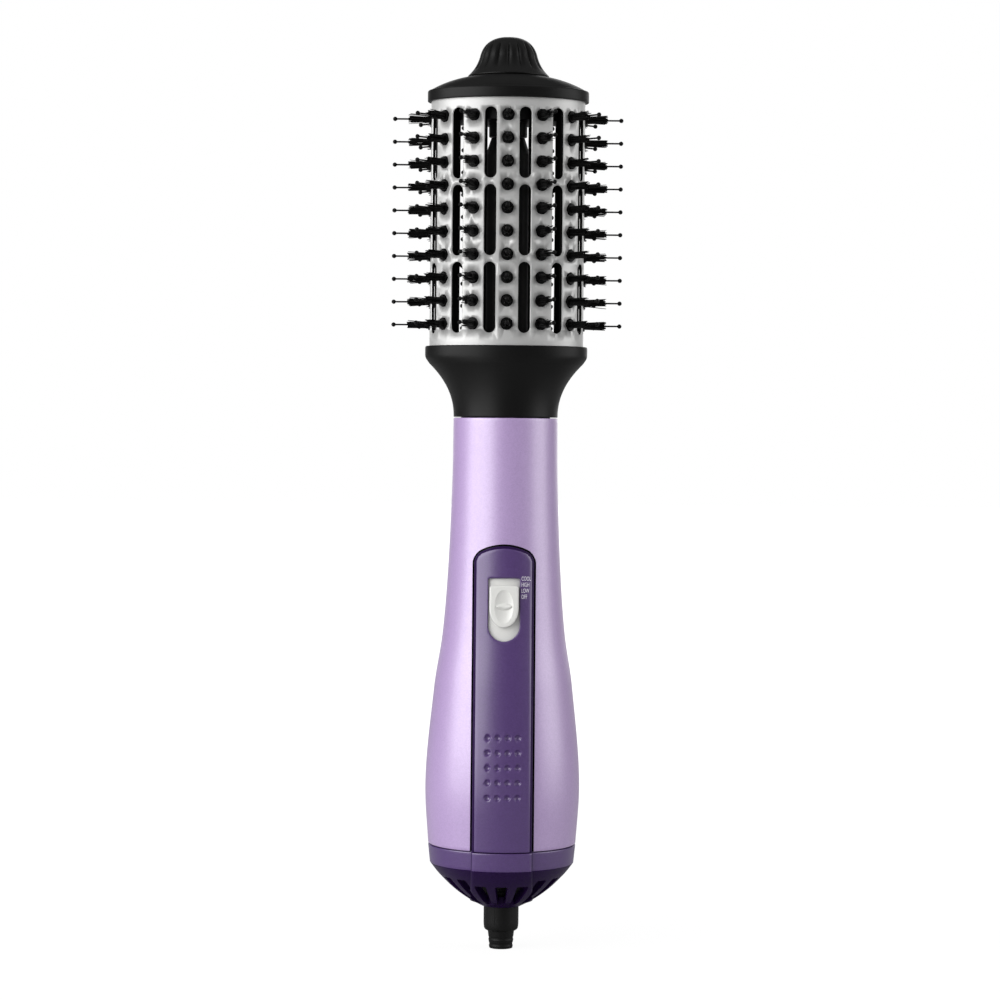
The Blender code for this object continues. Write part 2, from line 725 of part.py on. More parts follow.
def cut_dimples(panel):
    middle = SEAM_Z + DIMPLE_RISE
    for row in range(DIMPLE_ROWS):
        z = middle + (row - (DIMPLE_ROWS - 1) / 2) * DIMPLE_PITCH_Z
        for column in range(DIMPLE_COLUMNS):
            x = (column - (DIMPLE_COLUMNS - 1) / 2) * DIMPLE_PITCH_X
            boolean(panel, loft("dimple", dimple_tool(x, z)))


def add_panel(plastic):
    inner = GAP - PANEL_SEAT
    panel = slab("control_panel", panel_grid(PANEL_PROUD, rolled_from=inner), panel_grid(inner), plastic)
    cut_window(panel)
    cut_dimples(panel)
    return smooth(panel)


# ================================================================ slide switch
def lever_span():
    """Reach of the lever along the slope over its travel."""
    half = LEVER_SIZE / 2
    return BUTTON_REST - half - TRAVEL_DOWN, BUTTON_REST + half + TRAVEL_UP


def lever_opening():
    low, high = lever_span()
    side = LEVER_SIZE / 2 + RUNNING_GAP
    depth = HANDLE_WALL + 4 * PAST
    opening = block("opening", (-side, -depth, low - GAP), (side, depth, high + GAP))
    return in_switch_frame(opening)


def switch_face():
    """Depth of the switch body's front face, clear of the inner wall from end to end."""
    half, inside = SWITCH_LENGTH / 2, switch_matrix().inverted()
    wall = []
    for z in spread(WINDOW_Z - half, WINDOW_Z + half, 8):
        bore = handle_radius(z) - HANDLE_WALL
        wall.append(inside @ Vector((0.0, -math.sqrt(bore**2 - (SWITCH_WIDTH / 2) ** 2), z)))
    return max(point.y for point in wall) + SWITCH_CLEAR


def add_button(empty, plastic):
    """The thumb button with its dust flange, moulded as one."""
    seat = flange_seat()
    face = seat - FLANGE_THICKNESS
    button = curved_plate("slide_button", FLANGE_WIDTH / 2, flange_span(), face, seat, plastic)
    half = BUTTON_LENGTH / 2
    outline = stadium(BUTTON_WIDTH, BUTTON_REST - half, BUTTON_REST + half)
    top = -(PANEL_PROUD + BUTTON_PROUD)
    inset = 1 - BUTTON_CHAMFER / (BUTTON_WIDTH / 2)
    rings = []
    for y, share in ((seat - FLANGE_THICKNESS / 4, 1.0), (top + BUTTON_CHAMFER, 1.0), (top, inset)):
        rings.append([Vector((x * share, y, BUTTON_REST + (z - BUTTON_REST) * share)) for x, z in outline])
    boolean(button, loft("cap", rings), "UNION")
    boolean(button, thumb_dish(top))
    button.parent = empty
    return smooth(button)


DISH_RINGS = ((-PAST, 1.3), (0.0, 1.0), (0.6 * THUMB_DISH_DEPTH, 0.8), (THUMB_DISH_DEPTH, 0.45))


def thumb_dish(top):
    """An oval hollow with a finger ridge left standing across its middle."""
    rings = []
    for depth, share in DISH_RINGS:
        a, b = share * THUMB_DISH_WIDTH / 2, share * THUMB_DISH_LENGTH / 2
        ring = oval_ring(a, b, 0.0, 12)
        rings.append([Vector((p.x, top + depth, BUTTON_REST + p.y)) for p in ring])
    dish = loft("dish", rings)
    side = THUMB_DISH_WIDTH
    low = (-side, top - 2 * PAST, BUTTON_REST - THUMB_RIDGE / 2)
    high = (side, top + 2 * PAST, BUTTON_REST + THUMB_RIDGE / 2)
    boolean(dish, block("ridge", low, high))
    return dish


def add_switch(empty, black, brass):
    half = LEVER_SIZE / 2
    start = flange_seat() + GAP
    low = (-half, start, BUTTON_REST - half)
    high = (half, start + LEVER_LENGTH, BUTTON_REST + half)
    lever = block("switch_lever", low, high, brass)
    lever.parent = empty
    face = switch_face()
    side, length = SWITCH_WIDTH / 2, SWITCH_LENGTH / 2
    body = block("switch_body", (-side, face, -length), (side, face + SWITCH_DEPTH, length), black)
    low, high = lever_span()
    gap = RUNNING_GAP
    floor = start + LEVER_LENGTH + GAP
    boolean(body, block("track", (-half - gap, 0, low - gap), (half + gap, floor, high + gap)))
    in_switch_frame(body)


# ================================================================ tail cap
def tail_arc(inset=0.0, steps=5):
    """The bowl's (radius, z) outline from mouth to crease, moved inward by the inset."""
    low = (TAIL_MOUTH_R + TAIL_MOUTH_EDGE, TAIL_Z)
    high = (TAIL_CREASE_R, SEAM_Z - TAIL_BAND)
    points = arc(low, high, TAIL_BULGE, steps)
    if not inset:
        return points
    moved = []
    for i, point in enumerate(points):
        before, after = Vector(points[max(i - 1, 0)]), Vector(points[min(i + 1, steps)])
        way = (after - before).normalized()
        moved.append((point[0] - way.y * inset, point[1] + way.x * inset))
    return moved


def tail_inner_radius(z):
    """Radius of the bowl's inner face at height z."""
    points = tail_arc(TAIL_WALL)
    for (r0, z0), (r1, z1) in zip(points, points[1:], strict=False):
        if z0 <= z <= z1:
            return r0 + (r1 - r0) * (z - z0) / (z1 - z0)
    return points[-1][0]


def tail_profile():
    floor_z = TAIL_Z + TAIL_FLOOR
    inner = [p for p in tail_arc(TAIL_WALL) if p[1] > floor_z + PAST]
    lip_r = SEAM_R - HANDLE_WALL - GAP
    lip_top = SEAM_Z + TAIL_LIP_HEIGHT
    return [
        (TAIL_MOUTH_R, TAIL_Z),
        *tail_arc(),
        (SEAM_R, SEAM_Z),
        (lip_r, SEAM_Z),
        (lip_r, lip_top),
        (lip_r - TAIL_LIP_WALL, lip_top),
        (lip_r - TAIL_LIP_WALL, SEAM_Z - TAIL_BAND / 2),
        *inner[::-1],
        (tail_inner_radius(floor_z) - STEP_IN, floor_z),
        (TAIL_MOUTH_R, floor_z),
    ]


def tail_ridge():
    """The ridge that carries the panel's line on down the cap, fading out at the foot."""
    half = PANEL_WIDTH / 2
    path = [(SEAM_R, SEAM_Z), *tail_arc()[::-1]]
    path = [p for p in path if p[0] > half + STEP_IN]

    def surface(offset, rolled):
        rows = []
        for i, (radius, z) in enumerate(path):
            before, after = Vector(path[max(i - 1, 0)]), Vector(path[min(i + 1, len(path) - 1)])
            way = (after - before).normalized()
            out = Vector((-way.y, way.x)) if i else Vector((1.0, 0.0))
            row = []
            for x in panel_columns(half):
                height = roll(half - abs(x)) if rolled else 1.0
                lift = offset * (PANEL_EDGE + (1 - PANEL_EDGE) * height) if rolled else offset
                reach = radius + lift * out.x
                row.append(Vector((x, -math.sqrt(max(reach**2 - x * x, 0.0)), z + lift * out.y)))
            rows.append(row)
        return rows

    return slab("ridge", surface(PANEL_PROUD, True), surface(-SINK, False))


def vent_tools():
    """Wedges that cut the radial air vents."""
    radii, halves = (VENT_INNER_R, VENT_OUTER_R), (VENT_ANGLE / 2, VENT_ANGLE / 2)
    wedges = []
    for i in range(VENT_COUNT):
        middle = -math.pi / 2 + 2 * math.pi * i / VENT_COUNT
        wedges.append(sector("vent", radii, middle, halves, TAIL_Z - PAST, SEAM_Z - TAIL_BAND))
    return wedges


def add_tail_cap(plastic):
    cap = turned("tail_cap", tail_profile(), plastic, sides=TAIL_SIDES)
    boolean(cap, tail_ridge(), "UNION")
    for wedge in vent_tools():
        boolean(cap, wedge)
    return smooth(cap)


def add_screen(plastic):
    """The intake screen: a hub and a rim joined by spokes, resting inside the bowl."""
    rim = tail_inner_radius(SCREEN_Z) - GAP
    top = SCREEN_Z + SCREEN_THICKNESS
    profile = [(CORD_BORE_R, SCREEN_Z), (rim, SCREEN_Z), (rim, top), (CORD_BORE_R, top)]
    screen = turned("intake_screen", profile, plastic, sides=2 * SCREEN_WINDOWS)
    radii = (SCREEN_HUB_R, rim - SCREEN_RIM)
    halves = [math.pi / SCREEN_WINDOWS - SCREEN_SPOKE / 2 / radius for radius in radii]
    for i in range(SCREEN_WINDOWS):
        middle = 2 * math.pi * i / SCREEN_WINDOWS
        boolean(screen, sector("window", radii, middle, halves, SCREEN_Z - PAST, top + PAST))
    return screen


# ================================================================ cord outlet and swivel
def strain_relief_profile():
    """Bored stub with shallow ribs, and the shank that sits in the socket."""
    top = ROTOR_Z + ROTOR_THICKNESS
    ribs = []
    spacing = STUB_LENGTH / (STUB_RIBS + 1)
    for i in range(STUB_RIBS):
        z = spacing * (i + STUB_RIB_START)
        radius = STUB_TIP_R + (SHANK_R - STUB_TIP_R) * z / STUB_LENGTH
        half = STUB_RIB_HEIGHT / 2
        ribs += [(radius, z - half), (radius - STUB_RIB_DEPTH, z), (radius, z + half)]
    foot = [(CORD_BORE_R, 0.0), (STUB_TIP_R, 0.0)]
    return [*foot, *ribs, (SHANK_R, STUB_LENGTH), (SHANK_R, top), (CORD_BORE_R, top)]


def add_swivel(empty, rubber, black, brass):
    bore = SHANK_R + GAP
    foot = STUB_LENGTH
    flange = TAIL_Z + TAIL_FLOOR + GAP
    rounding = arc((bore + SOCKET_EDGE, foot), (SOCKET_R, foot + SOCKET_ROUND), SOCKET_BULGE, 3)
    socket = [
        (bore, foot),
        *rounding,
        (SOCKET_R, flange),
        (SOCKET_FLANGE_R, flange),
        (SOCKET_FLANGE_R, SOCKET_TOP),
        (bore, SOCKET_TOP),
    ]
    rotor_top = ROTOR_Z + ROTOR_THICKNESS
    rotor = [(bore, ROTOR_Z), (ROTOR_R, ROTOR_Z), (ROTOR_R, rotor_top), (bore, rotor_top)]
    pieces = [
        turned("strain_relief", strain_relief_profile(), rubber, sides=14),
        turned("swivel_socket", socket, rubber, sides=14),
        turned("swivel_rotor", rotor, black),
    ]
    for name, radius in (("slip_ring_inner", RING_INNER_R), ("slip_ring_outer", RING_OUTER_R)):
        top = RING_Z + RING_THICKNESS
        outer = radius + RING_WIDTH
        profile = [(radius, RING_Z), (outer, RING_Z), (outer, top), (radius, top)]
        pieces.append(turned(name, profile, brass))
    for piece in pieces:
        piece.parent = empty


def add_leaf(name, radius, side, brass):
    """A brass leaf that hangs from the screen's hub and bears on a slip ring."""
    top, tip = SCREEN_Z - GAP, RING_Z + RING_THICKNESS + GAP
    x0, x1 = side * radius, side * (radius + LEAF_WIDTH)
    low_x, high_x = min(x0, x1), max(x0, x1)
    thick, foot = LEAF_THICKNESS, LEAF_FOOT
    outline = [
        (-foot / 2, top),
        (-foot / 2, top - thick),
        (0.0, top - thick),
        (foot / 2, tip),
        (foot / 2 + thick, tip),
        (foot / 2 + thick, tip + thick),
        (thick, top),
    ]
    loft(name, [[Vector((x, y, z)) for y, z in outline] for x in (low_x, high_x)], brass)


# ================================================================ fan and motor
def cup_radius():
    return MOTOR_R + GAP + CUP_WALL


def duct_bore():
    return handle_bore(DUCT_Z, DUCT_Z + DUCT_HEIGHT) - GAP - DUCT_WALL


def add_duct(plastic):
    """Outer ring, stator vanes and the cup that holds the motor."""
    outer, inner = duct_bore() + DUCT_WALL, duct_bore()
    top = DUCT_Z + DUCT_HEIGHT
    ring = [(inner, DUCT_Z), (outer, DUCT_Z), (outer, top), (inner, top)]
    duct = turned("fan_duct", ring, plastic, sides=20)
    cup_r, cup_top, floor = cup_radius(), CUP_Z + CUP_HEIGHT, CUP_Z + CUP_WALL
    hole = SHAFT_R + RUNNING_GAP
    cup = [
        (hole, CUP_Z),
        (cup_r, CUP_Z),
        (cup_r, cup_top),
        (cup_r - CUP_WALL, cup_top),
        (cup_r - CUP_WALL, floor),
        (hole, floor),
    ]
    boolean(duct, stator_vanes(cup_r, inner), "UNION")
    boolean(duct, turned("cup", cup, plastic, sides=16), "UNION")
    return smooth(duct)


def join(name, pieces):
    """Merge separate closed solids into one mesh, as one boolean tool."""
    verts, faces = [], []
    for piece in pieces:
        start = len(verts)
        verts += [v.co.copy() for v in piece.data.vertices]
        faces += [tuple(start + i for i in face.vertices) for face in piece.data.polygons]
        bpy.data.objects.remove(piece)
    return add_object(name, verts, faces)


def stator_vanes(cup_r, duct_r):
    vanes = []
    foot = CUP_Z + STEP_IN
    for i in range(VANE_COUNT):
        turn = Matrix.Rotation(2 * math.pi * i / VANE_COUNT, 3, "Z")
        low, high = cup_r - SINK, duct_r + SINK
        half = VANE_THICKNESS / 2
        corners = ((low, -half), (high, -half), (high, half), (low, half))
        outline = [(turn @ Vector((x, y, 0.0))).to_2d() for x, y in corners]
        vanes.append(upright("vane", outline, foot, foot + VANE_HEIGHT))
    return join("vanes", vanes)


def add_fan(empty, plastic, steel):
    top = FAN_Z + FAN_HEIGHT
    bore = SHAFT_R + GAP
    hub = [
        (bore, FAN_Z + FAN_NOSE),
        (FAN_HUB_R - FAN_NOSE, FAN_Z),
        (FAN_HUB_R, FAN_Z + FAN_NOSE),
        (FAN_HUB_R, top),
        (bore, top),
    ]
    fan = turned("impeller", hub, plastic, sides=14)
    boolean(fan, fan_blades(), "UNION")
    smooth(fan)
    shaft_top = MOTOR_Z + MOTOR_LENGTH - SHAFT_SEAT - GAP
    shaft = rod("motor_shaft", (0, 0, FAN_Z + SHAFT_START), (0, 0, shaft_top), SHAFT_R, steel, sides=10)
    for piece in (fan, smooth(shaft)):
        piece.parent = empty
        piece.matrix_parent_inverse = empty.matrix_world.inverted()


def blade_section(radius, pitch):
    """Four corners of a blade at a radius, its chord leaning by the pitch."""
    half = (FAN_HEIGHT / 2 - BLADE_MARGIN) / math.sin(pitch)
    along = Vector((0.0, math.cos(pitch), math.sin(pitch))) * half
    across = Vector((0.0, -math.sin(pitch), math.cos(pitch))) * (BLADE_THICKNESS / 2)
    middle = Vector((radius, 0.0, FAN_Z + FAN_HEIGHT / 2))
    return [middle + along * s + across * t for s, t in ((-1, -1), (1, -1), (1, 1), (-1, 1))]


def fan_blades():
    """Twisted blades, cut round at the tip by keeping their corners inside the duct."""
    tip = duct_bore() - RUNNING_GAP
    reach = math.sqrt(tip**2 - (FAN_HEIGHT / 2 / math.tan(BLADE_TIP_PITCH) + BLADE_THICKNESS) ** 2)
    stations = ((FAN_HUB_R - PAST, BLADE_ROOT_PITCH), (reach, BLADE_TIP_PITCH))
    blades = []
    for i in range(FAN_BLADES):
        turn = Matrix.Rotation(2 * math.pi * i / FAN_BLADES, 3, "Z")
        rings = [[turn @ p for p in blade_section(radius, pitch)] for radius, pitch in stations]
        blades.append(loft("blade", rings))
    return join("blades", blades)


def add_motor(steel, black, green):
    end = MOTOR_Z + MOTOR_LENGTH
    outline = [(MOTOR_R, MOTOR_Z), (MOTOR_R, end - MOTOR_CHAMFER), (MOTOR_FLAT_R, end)]
    can = turned("motor_can", outline, steel, 20, False)
    boolean(can, rod("bore", (0, 0, MOTOR_Z - PAST), (0, 0, end - SHAFT_SEAT), SHAFT_R + GAP))
    top, rim = BELL_TOP, END_BELL_R - BELL_CHAMFER
    outline = [(MOTOR_FLAT_R, END_BELL_Z), (END_BELL_R, top - BELL_CHAMFER), (rim, top)]
    bell = turned("motor_end_bell", outline, black, 20, False)
    half, thin = TERMINAL_SIZE / 2, TERMINAL_THICKNESS / 2
    for side in (-1, 1):
        x = side * BOARD_WIDTH / 4
        low, high = (x - half, -thin, top - SINK), (x + half, thin, top + half)
        boolean(bell, block("terminal", low, high), "UNION")
    smooth(can)
    add_board(green)


def add_board(green):
    """Rectifier board with its row of diodes, behind the switch."""
    half, top = BOARD_WIDTH / 2, BOARD_Z + BOARD_THICKNESS
    front = BOARD_BACK - BOARD_DEPTH
    board = block("rectifier_board", (-half, front, BOARD_Z), (half, BOARD_BACK, top), green)
    for i in range(DIODE_COUNT):
        x = (i - (DIODE_COUNT - 1) / 2) * DIODE_PITCH
        z = top + DIODE_R - SINK
        y = front + BOARD_DEPTH / 2
        start, end = (x, y - DIODE_LENGTH / 2, z), (x, y + DIODE_LENGTH / 2, z)
        boolean(board, rod("diode", start, end, DIODE_R, sides=8), "UNION")


# ================================================================ heater
def add_heater_base(ceramic):
    """Ring with two crossed bars that the mica stands on."""
    top = HEATER_Z + HEATER_BASE_HEIGHT
    outer = handle_bore(HEATER_Z, top) - GAP
    inner = outer - HEATER_BASE_WALL
    profile = [(inner, HEATER_Z), (outer, HEATER_Z), (outer, top), (inner, top)]
    base = turned("heater_base", profile, ceramic, sides=20)
    reach, half = inner + SINK, HEATER_BAR / 2
    low, high = HEATER_Z + STEP_IN, top - STEP_IN
    boolean(base, block("bar", (-reach, -half, low), (reach, half, high)), "UNION")
    boolean(base, block("bar", (-half, -reach, low), (half, reach, high)), "UNION")
    return base


def mica_sheet(name, along_x, slot_up, mica):
    """One sheet with a half-length slot for the other."""
    half, thick = MICA_HALF_WIDTH, MICA_THICKNESS / 2
    slot, middle, top = thick + GAP, MICA_LENGTH / 2 - GAP, MICA_LENGTH
    outline = [(-half, 0.0), (half, 0.0), (half, top), (slot, top)]
    outline += [(slot, middle), (-slot, middle), (-slot, top), (-half, top)]
    if not slot_up:
        outline = [(x, top - z) for x, z in outline]
    rings = []
    for side in (-thick, thick):
        rings.append([Vector((x, side, z) if along_x else (side, x, z)) for x, z in outline])
    sheet = loft(name, rings, mica)
    sheet.location.z = MICA_Z
    return sheet


def coil_radius():
    return MICA_HALF_WIDTH + GAP + WIRE / 2


def add_coil(wire):
    """The heating wire, wound round the edges of the crossed sheets."""
    inner, outer, half = coil_radius() - WIRE / 2, coil_radius() + WIRE / 2, WIRE / 2
    section = ((outer, half), (outer, -half), (inner, -half), (inner, half))
    pitch = (MICA_LENGTH - 2 * COIL_END) / COIL_TURNS
    rings = []
    for i in range(COIL_TURNS * COIL_STEPS + 1):
        angle = 2 * math.pi * i / COIL_STEPS
        z = MICA_Z + COIL_END + pitch * i / COIL_STEPS
        x, y = math.cos(angle), math.sin(angle)
        rings.append([Vector((r * x, r * y, z + rise)) for r, rise in section])
    return loft("heater_coil", rings, wire)


def add_sleeve(mica):
    top = NECK_Z - COLLAR_SPIGOT - 2 * GAP
    outer = handle_bore(MICA_Z, top) - GAP
    profile = [(outer - SLEEVE_WALL, MICA_Z), (outer, MICA_Z), (outer, top), (outer - SLEEVE_WALL, top)]
    return turned("heater_sleeve", profile, mica, sides=20)


def add_cutouts(metal, ceramic):
    """Thermostat and thermal fuse, each against a face of the first mica sheet."""
    face = MICA_THICKNESS / 2 + GAP
    width, depth, height = THERMOSTAT_SIZE
    z = MICA_Z + CUTOUT_RISE
    side = THERMOSTAT_SIDE
    block("thermostat", (side, face, z), (side + width, face + depth, z + height), metal)
    y = -face - FUSE_R
    x = -MICA_HALF_WIDTH / 2
    smooth(rod("thermal_fuse", (x, y, z), (x, y, z + FUSE_LENGTH), FUSE_R, ceramic, sides=10))


# ================================================================ barrel
def oval_point(parameter, inset=0.0):
    """Point of the barrel's outline and its outward normal, moved inward by the inset."""
    normal = Vector((math.cos(parameter) / BARREL_A, math.sin(parameter) / BARREL_B, 0.0)).normalized()
    point = Vector((BARREL_A * math.cos(parameter), BARREL_B * math.sin(parameter), 0.0))
    return point - normal * inset, normal


def arc_table(samples=720):
    """Running length of the barrel's outline against the ellipse's parameter, from the front."""
    table = [(0.0, -math.pi / 2)]
    last = oval_point(-math.pi / 2)[0]
    for i in range(1, samples + 1):
        parameter = -math.pi / 2 + 2 * math.pi * i / samples
        point = oval_point(parameter)[0]
        table.append((table[-1][0] + (point - last).length, parameter))
        last = point
    return table


ARC_TABLE = arc_table()
PERIMETER = ARC_TABLE[-1][0]


def parameter_at(length):
    """Ellipse parameter at a running length round the barrel."""
    length %= PERIMETER
    low, high = 0, len(ARC_TABLE) - 1
    while high - low > 1:
        middle = (low + high) // 2
        if ARC_TABLE[middle][0] <= length:
            low = middle
        else:
            high = middle
    (s0, p0), (s1, p1) = ARC_TABLE[low], ARC_TABLE[high]
    return p0 + (p1 - p0) * (length - s0) / (s1 - s0)


def column_pitch():
    return PERIMETER / STRIP_COUNT


def tuft_heights():
    return [BARREL_Z + TUFT_FIRST + TUFT_PITCH * i for i in range(TUFT_ROWS)]


def boss_holes(centre):
    """(s, z) outlines of one column's round holes."""
    radius = BOSS_R + GAP
    holes = []
    for z in tuft_heights():
        angles = [math.pi * i / 3 for i in range(6)]
        holes.append([(centre + radius * math.cos(t), z + radius * math.sin(t)) for t in angles])
    return holes


def slot_holes(centre):
    """(s, z) outlines of one column's upright slots."""
    half = SLOT_WIDTH / 2
    holes = []
    for tier in range(SLOT_TIERS):
        foot = BARREL_Z + SLOT_FIRST + SLOT_PITCH * tier
        low, high = foot + half, foot + SLOT_LENGTH - half
        turns = [(high, t) for t in spread(0, math.pi, 3)]
        turns += [(low, t) for t in spread(math.pi, 2 * math.pi, 3)]
        holes.append([(centre + half * math.cos(t), z + half * math.sin(t)) for z, t in turns])
    return holes


def barrel_column(verts, faces, index, low, high):
    """Both skins of one column, its holes' walls and its end edges."""
    centre = index * column_pitch() / 2
    half = column_pitch() / 4
    holes = slot_holes(centre) if index % 2 else boss_holes(centre)
    border = [(centre - half, low), (centre + half, low), (centre + half, high), (centre - half, high)]
    loops = [border, *holes]
    flat = [point for loop in loops for point in loop]
    triangles = tessellate_polygon([[Vector((s, z, 0.0)) for s, z in loop] for loop in loops])
    start = len(verts)
    for inset in (0.0, BARREL_WALL):
        for s, z in flat:
            point = oval_point(parameter_at(s), inset)[0]
            verts.append(Vector((point.x, point.y, z)))
    count = len(flat)
    for skin in (0, count):
        faces += [tuple(start + skin + i for i in triangle) for triangle in triangles]
    first = len(border)
    for hole in holes:
        size = len(hole)
        for i in range(size):
            a, b = start + first + i, start + first + (i + 1) % size
            faces.append((a, b, b + count, a + count))
        first += size
    for a, b in ((0, 1), (2, 3)):
        faces.append((start + a, start + b, start + b + count, start + a + count))


def add_barrel(metal):
    """The slotted tube, built column by column and welded along the columns' edges."""
    low, high = BARREL_Z - BARREL_IN_COLLAR, CAP_Z + BARREL_IN_CAP
    verts, faces = [], []
    for index in range(2 * STRIP_COUNT):
        barrel_column(verts, faces, index, low, high)
    barrel = add_object("barrel", verts, faces, metal)
    edit = bmesh.new()
    edit.from_mesh(barrel.data)
    bmesh.ops.remove_doubles(edit, verts=edit.verts, dist=0.01 * MM)
    bmesh.ops.recalc_face_normals(edit, faces=edit.faces)
    edit.to_mesh(barrel.data)
    edit.free()
    return smooth(barrel, 50.0)


# ================================================================ bristle strips
def square(centre, radius, depth):
    """Four corners of a bundle or pin at a depth out of the barrel, in strip coordinates."""
    return [
        Vector((centre[0] + radius * math.cos(t), centre[1] + radius * math.sin(t), depth))
        for t in (math.pi / 4 + math.pi / 2 * i for i in range(4))
    ]


def tuft(verts, faces, foot, centre):
    """Boss, square bundle and pin, standing on the foot ring's vertices."""

    def add_ring(points):
        first = len(verts)
        verts.extend(points)
        return list(range(first, first + len(points)))

    def bridge(lower, upper):
        count = len(lower)
        for i in range(count):
            k = (i + 1) % count
            faces.append((lower[i], lower[k], upper[k], upper[i]))

    rim = add_ring([Vector((verts[i].x, verts[i].y, BOSS_PROUD)) for i in foot])
    bridge(foot, rim)
    bundle = add_ring(square(centre, BUNDLE_R, BOSS_PROUD))
    loops = [[verts[i] for i in rim], [verts[i] for i in bundle]]
    order = rim + bundle
    faces += [tuple(order[i] for i in triangle) for triangle in tessellate_polygon(loops)]
    bundle_top = add_ring(square(centre, BUNDLE_R, BUNDLE_REACH))
    bridge(bundle, bundle_top)
    pin = add_ring(square(centre, PIN_R, BUNDLE_REACH))
    bridge(bundle_top, pin)
    pin_top = add_ring(square(centre, PIN_R, PIN_REACH))
    bridge(pin, pin_top)
    faces.append(tuple(pin_top))


def rail_mesh():
    """Bar and tufts in strip coordinates: X across, Y along, Z out of the barrel's surface."""
    half = RAIL_WIDTH / 2
    top = -(BARREL_WALL + RAIL_CLEAR)
    bottom = top - RAIL_THICKNESS
    length = TUFT_PITCH * (TUFT_ROWS - 1)
    low, high = -RAIL_END, length + RAIL_END
    border = [(-half, low), (half, low), (half, high), (-half, high)]
    holes = []
    for row in range(TUFT_ROWS):
        y = TUFT_PITCH * row
        angles = [math.pi * i / 3 for i in range(6)]
        holes.append([(BOSS_R * math.cos(t), y + BOSS_R * math.sin(t)) for t in angles])
    flat = [point for loop in (border, *holes) for point in loop]
    verts = [Vector((x, y, top)) for x, y in flat] + [Vector((x, y, bottom)) for x, y in border]
    loops = [[Vector((x, y, 0.0)) for x, y in loop] for loop in (border, *holes)]
    faces = [tuple(triangle) for triangle in tessellate_polygon(loops)]
    under = len(flat)
    for i in range(4):
        k = (i + 1) % 4
        faces.append((i, k, under + k, under + i))
    faces.append(tuple(under + i for i in range(4)))
    for row in range(TUFT_ROWS):
        foot = [4 + 6 * row + i for i in range(6)]
        tuft(verts, faces, foot, (0.0, TUFT_PITCH * row))
    return verts, faces


def add_rails(nylon):
    """Twelve strips, each in the frame of its own column of holes."""
    verts, faces = rail_mesh()
    first = add_object("bristle_rail_01", verts, faces, nylon)
    rails = [first]
    for i in range(1, STRIP_COUNT):
        copy = bpy.data.objects.new(f"bristle_rail_{i + 1:02d}", first.data)
        bpy.context.scene.collection.objects.link(copy)
        rails.append(copy)
    for i, rail in enumerate(rails):
        point, normal = oval_point(parameter_at(i * column_pitch()))
        up = Vector((0.0, 0.0, 1.0))
        frame = Matrix((up.cross(normal), up, normal)).transposed().to_4x4()
        rail.matrix_world = Matrix.Translation((point.x, point.y, tuft_heights()[0])) @ frame
    return rails


# ================================================================ collar, core and tip
def oval_loft(name, profile, finish, sides):
    """Loft a closed loop of (a, b, z) half axes."""
    rings = [oval_ring(a, b, z, sides) for a, b, z in profile]
    return smooth(loft(name, rings, finish, closed_path=True))


def collar_section(share, inset):
    """Half axes of the trumpet at a share of its height, less the inset."""
    flare = share**COLLAR_FLARE
    a = NECK_R + (BARREL_A - NECK_R) * flare - inset
    b = NECK_R + (BARREL_B + COLLAR_RIM_B - NECK_R) * flare - inset
    return a, b


def add_collar(black):
    rim_a, rim_b = BARREL_A + COLLAR_LIP, BARREL_B + COLLAR_LIP
    rim_z = BARREL_Z - COLLAR_RIM_HEIGHT
    shares = spread(0.0, 1.0, 5)
    outer = [(*collar_section(s, 0.0), NECK_Z + s * (rim_z - NECK_Z)) for s in shares]
    inner = [(a - COLLAR_WALL, b - COLLAR_WALL, z) for a, b, z in outer[1:]]
    chamfer = COLLAR_CHAMFER
    ledge = (BARREL_A - BARREL_WALL - GAP, BARREL_B - BARREL_WALL - GAP)
    recess = (BARREL_A + GAP, BARREL_B + GAP)
    spigot_r = NECK_R - HANDLE_WALL - GAP
    spigot_z = NECK_Z - COLLAR_SPIGOT
    bore = spigot_r - SPIGOT_WALL
    profile = [
        *outer,
        (rim_a, rim_b, rim_z + COLLAR_RIM_SLOPE),
        (rim_a, rim_b, BARREL_Z - chamfer),
        (rim_a - chamfer, rim_b - chamfer, BARREL_Z),
        (*recess, BARREL_Z),
        (*recess, LEDGE_Z),
        (*ledge, LEDGE_Z),
        *inner[::-1],
        (bore, bore, NECK_Z),
        (bore, bore, spigot_z),
        (spigot_r, spigot_r, spigot_z),
        (spigot_r, spigot_r, NECK_Z),
    ]
    return oval_loft("neck_collar", profile, black, COLLAR_SIDES)


def add_spider(black):
    """Oval rim and four arms that hold the core in the collar's mouth."""
    low, high = SPIDER_Z, SPIDER_Z + SPIDER_HEIGHT
    mouth_a, mouth_b = collar_section(1.0, COLLAR_WALL + GAP)
    inner_a, inner_b = mouth_a - SPIDER_RIM, mouth_b - SPIDER_RIM
    inside, outside = (inner_a, inner_b), (mouth_a, mouth_b)
    profile = [(*inside, low), (*outside, low), (*outside, high), (*inside, high)]
    spider = oval_loft("core_spider", profile, black, COLLAR_SIDES)
    half, foot, top = SPIDER_ARM / 2, low + STEP_IN, high - STEP_IN
    reach_a, reach_b = inner_a + SINK, inner_b + SINK
    boolean(spider, block("arm", (-reach_a, -half, foot), (reach_a, half, top)), "UNION")
    boolean(spider, block("arm", (-half, -reach_b, foot), (half, reach_b, top)), "UNION")
    return spider


